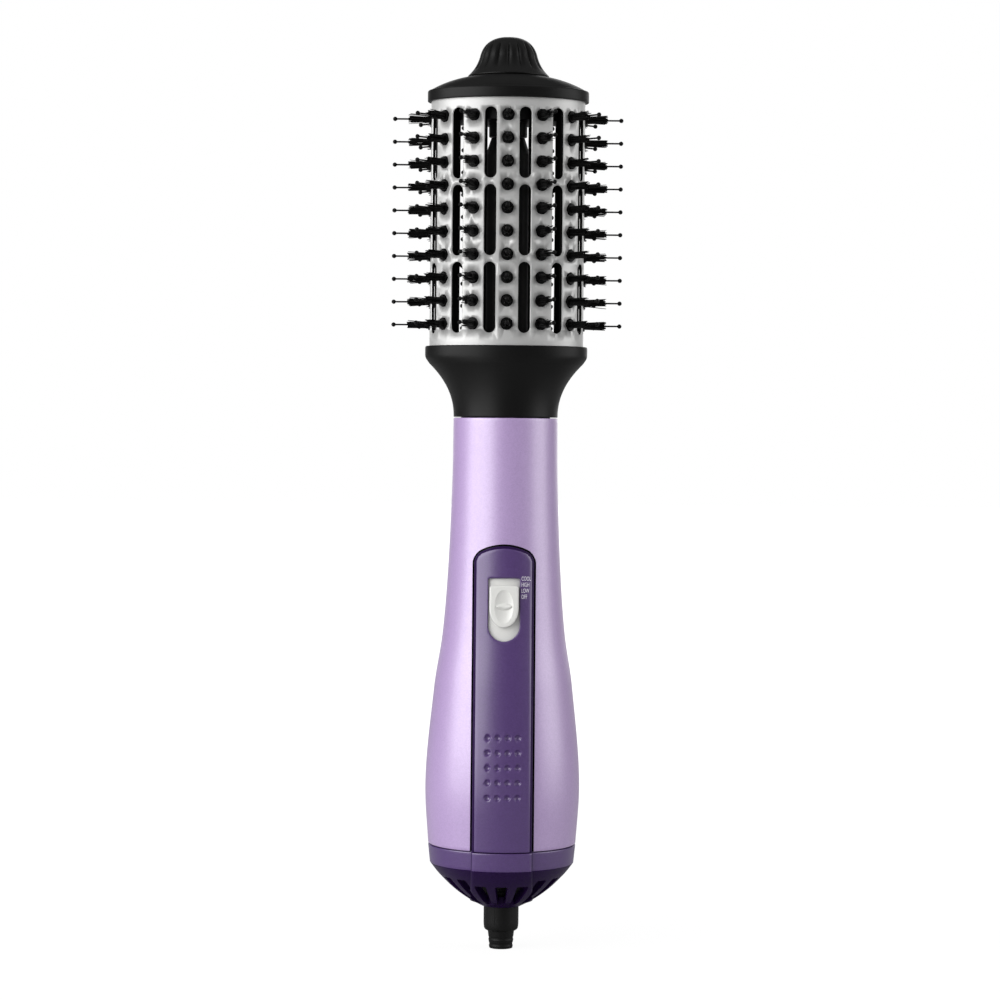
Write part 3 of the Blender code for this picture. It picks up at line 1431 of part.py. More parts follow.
def add_core(black):
    """The hollow post that drives the air outward, closed by a solid cone."""
    foot = SPIDER_Z + SPIDER_HEIGHT + GAP
    shoulder = CAP_Z - CORE_SHOULDER
    tip = shoulder + CORE_CONE
    plug = tip - CORE_PLUG
    bore = CORE_R - CORE_WALL
    outer = [(CORE_R, foot), (CORE_R, shoulder), (CORE_TIP_R, tip)]
    core = turned("air_core", outer, black, sides=16, bored=False)
    boolean(core, rod("bore", (0, 0, foot - PAST), (0, 0, plug), bore, sides=16))
    screw_bore = SCREW_R + GAP
    boolean(core, rod("thread", (0, 0, tip - SCREW_BITE), (0, 0, tip + PAST), screw_bore, sides=10))
    return smooth(core)


def add_cap(black):
    rim = CAP_RIM + GAP
    rim_a, rim_b = BARREL_A + rim, BARREL_B + rim
    chamfer = CAP_CHAMFER
    groove = (BARREL_A + GAP, BARREL_B + GAP)
    plug = (BARREL_A - BARREL_WALL - GAP, BARREL_B - BARREL_WALL - GAP)
    rim_top, seat = CAP_Z + CAP_RIM_HEIGHT, KNOB_Z
    start_a, start_b = rim_a - chamfer, rim_b - chamfer
    shoulder = []
    for a, z in arc((start_a, rim_top), (CAP_SEAT_R, seat), CAP_DOME, 3):
        share = (start_a - a) / (start_a - CAP_SEAT_R)
        shoulder.append((a, start_b + (CAP_SEAT_R - start_b) * share, z))
    groove_top = CAP_Z + BARREL_IN_CAP + GAP
    plug_z = tuft_heights()[-1] + RAIL_END + CAP_PLUG_GAP
    inset = BARREL_WALL + RAIL_CLEAR + RAIL_THICKNESS + GAP
    plate = (BARREL_A - inset, BARREL_B - inset)
    bore, stem = SCREW_R + GAP, CAP_STEM_R
    pocket_z = seat - CAP_POCKET
    profile = [
        (bore, bore, CAP_STEM_Z),
        (stem, stem, CAP_STEM_Z),
        (stem, stem, plug_z - CAP_PLATE),
        (*plate, plug_z - CAP_PLATE),
        (*plate, plug_z),
        (*plug, plug_z),
        (*plug, groove_top),
        (*groove, groove_top),
        (*groove, CAP_Z),
        (start_a, start_b, CAP_Z),
        (rim_a, rim_b, CAP_Z + chamfer),
        (rim_a, rim_b, rim_top - chamfer),
        *shoulder,
        (CAP_POCKET_R, CAP_POCKET_R, seat),
        (CAP_POCKET_R, CAP_POCKET_R, pocket_z),
        (bore, bore, pocket_z),
    ]
    return oval_loft("tip_cap", profile, black, CAP_SIDES)


def knob_outline():
    """(radius, z, flute share) up the bell of the knob."""
    foot, top = KNOB_Z + GAP, KNOB_Z + KNOB_HEIGHT
    waist = KNOB_Z + KNOB_WAIST_SHARE * KNOB_HEIGHT
    flare = arc((KNOB_FOOT_R, foot + KNOB_FOOT_HEIGHT), (KNOB_WAIST_R, waist), -KNOB_FLARE, 3)
    crown = arc((KNOB_WAIST_R, waist), (KNOB_CROWN_R, top), KNOB_DOME, 5)
    flutes = [0.0, 0.6, 1.0, 1.0, 1.0, 1.0, 0.5, 0.0, 0.0]
    points = [(KNOB_FOOT_R, foot, 0.0)]
    for (radius, z), flute in zip(flare + crown[1:], flutes, strict=True):
        points.append((radius, z, flute))
    return points


def add_knob(black):
    """Fluted bell with a spigot below and a hollow for the screw's head."""
    sides = 2 * KNOB_FLUTES
    rings = []
    spigot_r, spigot_z = CAP_POCKET_R - GAP, KNOB_Z - CAP_POCKET + GAP
    for radius, z in ((spigot_r, spigot_z), (spigot_r, KNOB_Z + GAP)):
        rings.append(oval_ring(radius, radius, z, sides))
    for radius, z, flute in knob_outline():
        ring = oval_ring(1.0, 1.0, z, sides)
        for i, point in enumerate(ring):
            r = radius - (i % 2) * flute * KNOB_FLUTE_DEPTH
            ring[i] = Vector((point.x * r, point.y * r, z))
        rings.append(ring)
    knob = loft("tip_knob", rings, black)
    head_r, head_top = SCREW_HEAD_R + GAP, spigot_z + SCREW_HEAD_HEIGHT + 2 * GAP
    boolean(knob, rod("hollow", (0, 0, spigot_z - PAST), (0, 0, head_top), head_r, sides=10))
    return smooth(knob, 25.0)


def add_tip_screw(steel):
    head = KNOB_Z - CAP_POCKET + GAP
    foot = CAP_Z - CORE_SHOULDER + CORE_CONE - SCREW_BITE + GAP
    shank = [(SCREW_R, foot), (SCREW_R, head)]
    crown = [(SCREW_HEAD_R, head), (SCREW_HEAD_R, head + SCREW_HEAD_HEIGHT)]
    return turned("tip_screw", shank + crown, steel, sides=10, bored=False)


# ================================================================ assembly
def build():
    clear_scene()
    lilac = material("lilac_lacquer", (0.42, 0.29, 0.62), 0.3, 0.4)
    plum = material("plum_lacquer", (0.15, 0.08, 0.26), 0.35, 0.4)
    silver = material("silver_lacquer", (0.72, 0.72, 0.70), 0.3, 0.5)
    black = material("black_nylon", (0.012, 0.012, 0.013), 0.5)
    rubber = material("black_rubber", (0.02, 0.02, 0.02), 0.7)
    aluminium = material("satin_aluminium", (0.6, 0.6, 0.6), 0.35, 1.0)
    bristle = material("bristle_nylon", (0.008, 0.008, 0.008), 0.45)
    steel = material("zinc_steel", (0.45, 0.45, 0.46), 0.35, 1.0)
    brass = material("brass", (0.6, 0.42, 0.15), 0.35, 1.0)
    mica = material("mica_sheet", (0.5, 0.42, 0.28), 0.6)
    nichrome = material("nichrome_wire", (0.3, 0.28, 0.26), 0.4, 1.0)
    ceramic = material("white_ceramic", (0.75, 0.73, 0.68), 0.5)
    laminate = material("green_laminate", (0.03, 0.16, 0.06), 0.5)

    swivel = add_empty("cord_swivel_axis", (0.0, 0.0, 0.0))
    fan = add_empty("fan_axis", (0.0, 0.0, FAN_Z))
    slider = add_empty("power_slider_axis", switch_matrix().to_translation(), (-switch_tilt(), 0.0, 0.0))
    bpy.context.view_layer.update()

    add_housing(lilac)
    add_housing_screws(steel)
    add_panel(plum)
    add_button(slider, silver)
    add_switch(slider, black, brass)
    add_tail_cap(plum)
    add_screen(black)
    add_swivel(swivel, rubber, black, brass)
    add_leaf("slip_contact_inner", RING_INNER_R, 1, brass)
    add_leaf("slip_contact_outer", RING_OUTER_R, -1, brass)
    add_duct(black)
    add_fan(fan, black, steel)
    add_motor(steel, black, laminate)
    add_heater_base(ceramic)
    mica_sheet("heater_mica_wide", True, True, mica)
    mica_sheet("heater_mica_deep", False, False, mica)
    add_coil(nichrome)
    add_sleeve(mica)
    add_cutouts(steel, ceramic)
    add_collar(black)
    add_spider(black)
    add_core(black)
    add_barrel(aluminium)
    add_rails(bristle)
    add_cap(black)
    add_knob(black)
    add_tip_screw(steel)


build()
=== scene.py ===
"""Looks of the hot air brush, built round the frame of its CAD model."""

import logging
import math
from dataclasses import dataclass
from enum import Enum
from typing import Any, Callable, Iterable, Sequence

import bmesh
import bpy
import numpy as np
from mathutils import Matrix, Vector
from mathutils.geometry import delaunay_2d_cdt


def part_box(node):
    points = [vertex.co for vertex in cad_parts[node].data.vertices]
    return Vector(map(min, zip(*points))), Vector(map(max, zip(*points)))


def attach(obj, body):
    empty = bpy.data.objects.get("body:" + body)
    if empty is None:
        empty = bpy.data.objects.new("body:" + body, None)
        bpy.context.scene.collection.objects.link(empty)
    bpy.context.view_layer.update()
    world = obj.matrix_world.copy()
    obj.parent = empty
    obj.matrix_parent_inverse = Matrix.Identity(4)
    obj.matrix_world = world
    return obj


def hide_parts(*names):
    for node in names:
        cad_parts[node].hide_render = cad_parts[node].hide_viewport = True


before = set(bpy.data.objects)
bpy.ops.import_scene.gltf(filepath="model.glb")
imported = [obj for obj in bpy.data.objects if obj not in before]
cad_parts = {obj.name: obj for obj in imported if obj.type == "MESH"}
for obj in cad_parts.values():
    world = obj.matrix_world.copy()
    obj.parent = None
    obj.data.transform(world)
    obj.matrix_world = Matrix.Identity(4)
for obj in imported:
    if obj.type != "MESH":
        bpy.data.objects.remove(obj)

LOG = logging.getLogger("hot_air_brush")
MM = 0.001
GAP = 0.3  # clearance between the solids, in millimetres
SLOT_RISE, CAP_RISE, KNOB_RISE = 4.0, 80.4, 88.3  # feet above the collar's top, in millimetres
Corner = tuple[float, float, float, float]  # half width, half depth, height, rounding


# ---------------------------------------------------------------- numbers
def spread(start: float, end: float, steps: int) -> list[float]:
    """Gives steps + 1 evenly spaced values."""
    return [start + (end - start) * i / steps for i in range(steps + 1)]


def smooth_step(low: float, high: float, value: float) -> float:
    """Rises smoothly from 0 at low to 1 at high."""
    t = min(max((value - low) / (high - low), 0.0), 1.0)
    return t * t * (3 - 2 * t)


def linear(colour: str) -> tuple[float, float, float, float]:
    """Turns an sRGB hex colour to linear red, green, blue and alpha."""
    channels = [int(colour[i : i + 2], 16) / 255 for i in (1, 3, 5)]
    bright = [c / 12.92 if c <= 0.04045 else ((c + 0.055) / 1.055) ** 2.4 for c in channels]
    return (*bright, 1.0)


def rounded(corners: Sequence[Sequence[float]], steps: int = 4) -> list[Vector]:
    """Rounds the corners of an outline.

    Args:
        corners: points of the outline, each with the reach of its rounding last.
        steps: straight pieces in each rounding.

    Returns:
        The points of the rounded outline.
    """
    points = [Vector(corner[:-1]) for corner in corners]
    result = []
    for i, corner in enumerate(corners):
        here, reach = points[i], corner[-1]
        if not reach:
            result.append(here)
            continue
        before, after = points[i - 1], points[(i + 1) % len(points)]
        start = here.lerp(before, reach / (before - here).length)
        end = here.lerp(after, reach / (after - here).length)
        result += [start.lerp(here, t).lerp(here.lerp(end, t), t) for t in spread(0, 1, steps)]
    return result


def bowed(
    start: Sequence[float], end: Sequence[float], bulge: float, steps: int
) -> list[tuple[float, float]]:
    """Gives points on a bowed line.

    Args:
        start: the first point.
        end: the last point.
        bulge: how far the middle stands out to the right of the way, or in if negative.
        steps: straight pieces.

    Returns:
        The points, ends included.
    """
    first, last = Vector(start), Vector(end)
    way = last - first
    out = Vector((way.y, -way.x)).normalized() * 4 * bulge
    return [tuple(first + way * t + out * t * (1 - t)) for t in spread(0, 1, steps)]


def circle(
    radius: float, sides: int, middle: Sequence[float] = (0.0, 0.0)
) -> list[tuple[float, float]]:
    """Gives evenly spaced points round a circle."""
    turns = spread(0, math.tau, sides)[:-1]
    return [(middle[0] + radius * math.cos(t), middle[1] + radius * math.sin(t)) for t in turns]


# ---------------------------------------------------------------- nodes
def add_node(
    tree: bpy.types.NodeTree,
    kind: str,
    inputs: dict[str | int, Any] | None = None,
    settings: dict[str, Any] | None = None,
) -> bpy.types.Node:
    """Adds a node with its settings and links.

    Args:
        tree: the shader or geometry tree.
        kind: the node's type.
        inputs: for each input, a value, a socket, or a node whose first output is linked.
        settings: the node's own properties.

    Returns:
        The new node.
    """
    node = tree.nodes.new(kind)
    for name, value in (settings or {}).items():
        setattr(node, name, value)
    for key, value in (inputs or {}).items():
        if isinstance(value, bpy.types.Node):
            value = value.outputs[0]
        if isinstance(value, bpy.types.NodeSocket):
            tree.links.new(value, node.inputs[key])
        else:
            node.inputs[key].default_value = value
    return node


def geometry_tree(
    name: str, kinds: dict[str, str]
) -> tuple[bpy.types.NodeTree, bpy.types.Node]:
    """Starts a Geometry Nodes tree.

    Args:
        name: the tree's name.
        kinds: each input's name with its kind, such as Float.

    Returns:
        The tree and its input node.
    """
    tree = bpy.data.node_groups.new(name, "GeometryNodeTree")
    for label, kind in kinds.items():
        tree.interface.new_socket(label, in_out="INPUT", socket_type="NodeSocket" + kind)
    tree.interface.new_socket("Geometry", in_out="OUTPUT", socket_type="NodeSocketGeometry")
    return tree, add_node(tree, "NodeGroupInput")


def end_tree(tree: bpy.types.NodeTree, instances: Any, finish: Any) -> None:
    """Ends a tree in Realize Instances and Set Material.

    Args:
        tree: the Geometry Nodes tree.
        instances: node or socket that gives the geometry.
        finish: socket that gives the material.
    """
    real = add_node(tree, "GeometryNodeRealizeInstances", {"Geometry": instances})
    shown = add_node(tree, "GeometryNodeSetMaterial", {"Geometry": real, "Material": finish})
    add_node(tree, "NodeGroupOutput", {"Geometry": shown})


# ---------------------------------------------------------------- meshes
def place(name: str, mesh: bpy.types.Mesh, crease: float = 38.0) -> bpy.types.Object:
    """Puts a mesh in the scene, smooth but for edges sharper than the crease, in degrees."""
    mesh.shade_smooth()
    mesh.set_sharp_from_angle(angle=math.radians(crease))
    made = bpy.data.objects.new(name, mesh)
    bpy.context.scene.collection.objects.link(made)
    return made


def write_outwards(body: bmesh.types.BMesh, mesh: bpy.types.Mesh) -> None:
    """Turns every face of a closed body outwards and writes it to a mesh."""
    bmesh.ops.recalc_face_normals(body, faces=body.faces)
    if body.calc_volume(signed=True) < 0:
        bmesh.ops.reverse_faces(body, faces=body.faces)
    body.to_mesh(mesh)
    body.free()


def remove(made: bpy.types.Object) -> None:
    """Takes a helper object out of the file, with its mesh."""
    mesh = made.data
    bpy.data.objects.remove(made)
    bpy.data.meshes.remove(mesh)


def settle(made: bpy.types.Object) -> bpy.types.Object:
    """Turns an object and its modifiers into a plain mesh."""
    graph = bpy.context.evaluated_depsgraph_get()
    mesh = bpy.data.meshes.new_from_object(made.evaluated_get(graph))
    made.modifiers.clear()
    old, made.data = made.data, mesh
    bpy.data.meshes.remove(old)
    return made


def carve(
    target: bpy.types.Object, tool: bpy.types.Object, operation: str = "DIFFERENCE"
) -> bpy.types.Object:
    """Cuts or joins a solid with a tool, which is used up.

    Args:
        target: the solid that is kept.
        tool: the solid that cuts it or is joined to it.
        operation: the boolean's kind.

    Returns:
        The target.
    """
    cut = target.modifiers.new("cut", "BOOLEAN")
    cut.operation, cut.solver, cut.object = operation, "EXACT", tool
    settle(target)
    remove(tool)
    return target


def grow(
    name: str, seeds: bpy.types.Mesh, tree: bpy.types.NodeTree, inputs: dict[str, Any]
) -> bpy.types.Object:
    """Runs a Geometry Nodes tree over a mesh and keeps the result as a plain mesh.

    Args:
        name: name of the new object.
        seeds: the mesh that the tree starts from.
        tree: the tree.
        inputs: values of the tree's named inputs.

    Returns:
        The new object.
    """
    made = bpy.data.objects.new(name, seeds)
    bpy.context.scene.collection.objects.link(made)
    modifier = made.modifiers.new(name, "NODES")
    modifier.node_group = tree
    for item in tree.interface.items_tree:
        if item.in_out == "INPUT" and item.name in inputs:
            modifier[item.identifier] = inputs[item.name]
    return settle(made)


def seed_mesh(
    points: Iterable[Sequence[float]], turns: Iterable[Sequence[float]]
) -> bpy.types.Mesh:
    """Makes a mesh of loose points for a tree to fill.

    Args:
        points: places in millimetres.
        turns: the turn at each point, in radians about X, Y and Z.

    Returns:
        The mesh, with the turns in its "turn" attribute.
    """
    mesh = bpy.data.meshes.new("seeds")
    mesh.from_pydata([Vector(p) * MM for p in points], [], [])
    turn = mesh.attributes.new("turn", "FLOAT_VECTOR", "POINT")
    turn.data.foreach_set("vector", [value for each in turns for value in each])
    return mesh


class Skin:
    """A closed mesh being put together from rings of points, in millimetres."""

    def __init__(self) -> None:
        """Starts with no points and no faces."""
        self.points: list[Vector] = []
        self.faces: list[list[int]] = []

    def ring(self, points: Iterable[Sequence[float]]) -> list[int]:
        """Adds a ring of points and returns their numbers."""
        first = len(self.points)
        self.points += [Vector(point) for point in points]
        return list(range(first, len(self.points)))

    def band(self, low: list[int], high: list[int], closed: bool = True) -> None:
        """Lays faces between two rings.

        Args:
            low: the first ring; one point is a pole.
            high: the next ring; one point is a pole.
            closed: whether the rings run all the way round.
        """
        count = max(len(low), len(high))
        for i in range(count if closed else count - 1):
            j = (i + 1) % count
            foot = (low[i % len(low)], low[j % len(low)])
            top = (high[j % len(high)], high[i % len(high)])
            face = list(dict.fromkeys(foot + top))
            if len(face) > 2:
                self.faces.append(face)

    def loft(self, rings: Sequence[Sequence[Sequence[float]]], wrap: bool = False) -> "Skin":
        """Joins rings into a closed solid.

        Args:
            rings: rings of equal count; one point is a pole.
            wrap: whether the last ring joins the first, else both ends are capped.

        Returns:
            This skin.
        """
        numbers = [self.ring(points) for points in rings]
        for low, high in zip(numbers, numbers[1:], strict=False):
            self.band(low, high)
        if wrap:
            self.band(numbers[-1], numbers[0])
        else:
            self.faces += [ring for ring in (numbers[0], numbers[-1]) if len(ring) > 2]
        return self

    def build(self, name: str, crease: float = 38.0) -> bpy.types.Object:
        """Makes the object, with its faces pointing outwards.

        Args:
            name: the object's name.
            crease: angle in degrees past which an edge stays sharp.

        Returns:
            The new object.
        """
        mesh = bpy.data.meshes.new(name)
        mesh.from_pydata([point * MM for point in self.points], [], self.faces)
        body = bmesh.new()
        body.from_mesh(mesh)
        write_outwards(body, mesh)
        return place(name, mesh, crease)


def oval(a: float, b: float, z: float, sides: int) -> list[Vector]:
    """Gives a flat oval ring; a ring of no width is one point."""
    if a < 1e-6:
        return [Vector((0, 0, z))]
    turns = spread(0, math.tau, sides)[:-1]
    return [Vector((a * math.cos(t), b * math.sin(t), z)) for t in turns]


def turned(
    name: str, corners: Sequence[Corner], sides: int = 96, steps: int = 4
) -> bpy.types.Object:
    """Makes a round or oval solid from its outline.

    Args:
        name: the object's name.
        corners: half width, half depth, height and rounding of each corner. An outline that
            starts on the axis ends there too; any other is a closed loop.
        sides: points round the piece.
        steps: straight pieces in each rounding.

    Returns:
        The new object.
    """
    outline = rounded(corners, steps)
    rings = [oval(a, b, z, sides) for a, b, z in outline]
    return Skin().loft(rings, wrap=len(rings[0]) > 1).build(name)


def round_corners(corners: Iterable[tuple[float, float, float]]) -> list[Corner]:
    """Turns radius, height and rounding to the corners of a round piece."""
    return [(r, r, z, reach) for r, z, reach in corners]


def dressed(
    made: bpy.types.Object, finish: "Finish", body: str, *nodes: str
) -> bpy.types.Object:
    """Gives a piece its finish and its place in the frame.

    Args:
        made: the piece.
        finish: what it is made of.
        body: the CAD body that it rides on.
        nodes: CAD nodes that it stands for.

    Returns:
        The piece.
    """
    made.data.materials.clear()
    made.data.materials.append(finish.material())
    if nodes:
        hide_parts(*nodes)
    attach(made, body)
    LOG.info("%s: %d faces on %s", made.name, len(made.data.polygons), body)
    return made


def also_finished(made: bpy.types.Object, finish: "Finish", faces: Iterable[int]) -> None:
    """Gives some faces of a dressed piece a second finish."""
    made.data.materials.append(finish.material())
    for face in faces:
        made.data.polygons[face].material_index = len(made.data.materials) - 1


# ---------------------------------------------------------------- finishes
class Grain(Enum):
    """Patterns that the making of a surface leaves on it, as stretch along X, Y and Z."""

    FINE = (1.0, 1.0, 1.0)
    ALONG = (1.0, 1.0, 0.04)
    AROUND = (0.12, 0.12, 1.0)
    FLAKE = (1.0, 1.0, 1.001)


@dataclass(frozen=True)
class Finish:
    """One material and how its surface was made; grain and bump are in millimetres."""

    name: str
    slot: str
    colour: str
    fleck: str
    roughness: float
    metallic: float = 0.0
    ior: float = 1.5
    edge: str = "#ffffff"
    grain: Grain = Grain.FINE
    grain_mm: float = 0.5
    bump_mm: float = 0.01
    spread: float = 0.06
    coat: float = 0.0
    coat_roughness: float = 0.15
    shine: float = 0.5

    def pattern(self, tree: bpy.types.NodeTree) -> bpy.types.NodeSocket:
        """Adds the grain and returns its strength, from 0 to 1."""
        position = add_node(tree, "ShaderNodeTexCoord").outputs["Object"]
        stretched = add_node(
            tree, "ShaderNodeMapping", {"Vector": position, "Scale": self.grain.value}
        )
        scale = 1 / (self.grain_mm * MM)
        if self.grain is Grain.FLAKE:
            cells = add_node(tree, "ShaderNodeTexVoronoi", {"Vector": stretched, "Scale": scale})
            parts = add_node(tree, "ShaderNodeSeparateColor", {"Color": cells.outputs["Color"]})
            return parts.outputs[0]
        noise = add_node(
            tree, "ShaderNodeTexNoise", {"Vector": stretched, "Scale": scale, "Detail": 3.0}
        )
        return noise.outputs[0]

    def material(self) -> bpy.types.Material:
        """Gives the finish as a procedural material, made once."""
        known = bpy.data.materials.get(self.name)
        if known:
            return known
        made = bpy.data.materials.new(self.name)
        made.use_nodes = True
        tree = made.node_tree
        tree.nodes.clear()
        grain = self.pattern(tree)
        shades = {0: grain, 6: linear(self.colour), 7: linear(self.fleck)}
        colour = add_node(tree, "ShaderNodeMix", shades, {"data_type": "RGBA"})
        low, high = self.roughness - self.spread, self.roughness + self.spread
        rough = add_node(
            tree, "ShaderNodeMapRange", {"Value": grain, "To Min": low, "To Max": high}
        )
        height = {"Height": grain, "Strength": 1.0, "Distance": self.bump_mm * MM}
        bump = add_node(tree, "ShaderNodeBump", height)
        inputs = {
            "Base Color": colour.outputs[2],
            "Metallic": self.metallic,
            "Roughness": rough,
            "Normal": bump,
            "Specular Tint": linear(self.edge),
            "Specular IOR Level": self.shine,
            "Coat Weight": self.coat,
            "Coat Roughness": self.coat_roughness,
        }
        if self.metallic < 1:
            inputs["IOR"] = self.ior
        surface = add_node(tree, "ShaderNodeBsdfPrincipled", inputs)
        add_node(tree, "ShaderNodeOutputMaterial", {"Surface": surface})
        made.diffuse_color = linear(self.colour)
        return made


# Pearl lacquer sprayed on ABS: titania-coated mica flakes of high index, so a broad whitish
# highlight, and deep purple where the surface turns away. The flakes are drawn 0.35 mm wide, far
# coarser than real ones.
LILAC_LACQUER = Finish(
    "lilac_pearl_lacquer", "lilac_lacquer", "#b397ca", "#a78bbf", 0.40,
    ior=2.25, edge="#f2ecf7", grain=Grain.FLAKE, grain_mm=0.35, bump_mm=0.004,
    spread=0.04, coat=1.0, coat_roughness=0.36,
)
# The same lacquer in a deep plum, sprayed thinner: its flakes stand out more.
PLUM_LACQUER = Finish(
    "plum_pearl_lacquer", "plum_lacquer", "#412264", "#4b2c6e", 0.38,
    ior=1.78, edge="#f2ecf7", grain=Grain.FLAKE, grain_mm=0.30, bump_mm=0.005,
    spread=0.05, coat=0.6, coat_roughness=0.34,
)
# Painted shade: the plum darkened almost to black, laid on faces that turn from the light: the
# vented bowl below its crease, the sides of the ridge and the panel's rolled edge.
PLUM_PAINTED_SHADE = Finish(
    "plum_painted_shade", "plum_lacquer", "#1f0b36", "#291542", 0.40,
    ior=1.45, edge="#b9a0d0", grain=Grain.FLAKE, grain_mm=0.30, bump_mm=0.005,
    spread=0.05, shine=0.2,
)
# Silver-grey lacquer sprayed on moulded ABS: bright, smooth and slightly soft.
SILVER_LACQUER = Finish(
    "silver_lacquer", "silver_lacquer", "#ececee", "#e4e4e6", 0.34,
    metallic=0.25, grain=Grain.FLAKE, grain_mm=0.25, bump_mm=0.002, coat=0.3,
)
# Glass-filled nylon from a spark-eroded mould: matte black that stands the heat.
BLACK_NYLON = Finish(
    "black_moulded_nylon", "black_nylon", "#050505", "#090909", 0.42,
    grain_mm=0.5, bump_mm=0.006, shine=0.2,
)
# Moulded synthetic rubber with a faint bloom: softer and greyer than the nylon.
BLACK_RUBBER = Finish(
    "black_moulded_rubber", "black_rubber", "#080808", "#0e0e0e", 0.48,
    ior=1.52, grain_mm=0.8, bump_mm=0.01, shine=0.2,
)
# Bead-blasted aluminium under a thin silver-grey ceramic coat, so only partly a bare metal: satin,
# with broad soft highlights.
SATIN_ALUMINIUM = Finish(
    "blasted_aluminium", "satin_aluminium", "#c8c8c7", "#bebebd", 0.44,
    metallic=0.35, grain=Grain.FINE, grain_mm=0.4, bump_mm=0.002, spread=0.03,
)
# Painted shade: matte near-black on the barrel's inner faces, so that the openings show dark as if
# in shadow.
BARREL_INSIDE_SHADE = Finish(
    "barrel_inside_painted_shade", "black_coat", "#060606", "#0b0b0b", 0.62,
    grain_mm=0.4, bump_mm=0.004, shine=0.15,
)
# Extruded nylon bristle, drawn thick enough to show: black with a soft sheen along its length.
BRISTLE_NYLON = Finish(
    "extruded_bristle_nylon", "bristle_nylon", "#030303", "#070707", 0.45,
    grain=Grain.FINE, grain_mm=0.6, bump_mm=0.002, shine=0.15,
)
# Zinc-plated steel, pressed and turned: cool grey with fine lines round it.
ZINC_STEEL = Finish(
    "zinc_plated_steel", "zinc_steel", "#b9bcbe", "#a9adb0", 0.32,
    metallic=1.0, grain=Grain.AROUND, grain_mm=0.3, bump_mm=0.004,
)
# Turned and stamped brass, lightly tarnished.
BRASS = Finish(
    "stamped_brass", "brass", "#c9a250", "#b58a3c", 0.30,
    metallic=1.0, grain=Grain.AROUND, grain_mm=0.3, bump_mm=0.003,
)
# Pressed mica board: layered flakes, amber and slightly pearly.
MICA = Finish(
    "pressed_mica", "mica_sheet", "#b99a6a", "#8d6f45", 0.38,
    ior=1.58, grain=Grain.FLAKE, grain_mm=1.4, bump_mm=0.02, spread=0.12,
)
# Drawn nichrome wire, greyed by its first heating.
NICHROME = Finish(
    "drawn_nichrome", "nichrome_wire", "#7c7672", "#625b57", 0.36,
    metallic=1.0, grain=Grain.ALONG, grain_mm=0.3, bump_mm=0.004,
)
# Glazed steatite ceramic: off-white, hard and even.
CERAMIC = Finish(
    "glazed_steatite", "white_ceramic", "#e9e5dc", "#dfdacd", 0.28,
    ior=1.54, grain_mm=1.0, bump_mm=0.01,
)
# Glass-epoxy laminate under green solder mask.
LAMINATE = Finish(
    "solder_masked_laminate", "green_laminate", "#1f6b3f", "#185733", 0.34,
    ior=1.55, grain=Grain.AROUND, grain_mm=0.6, bump_mm=0.01,
)
# White pad-printing ink on the panel: flat and dense.
WHITE_INK = Finish(
    "pad_printed_ink", "silver_lacquer", "#f2eff6", "#e6e2ec", 0.5, grain_mm=0.3, bump_mm=0.002,
)


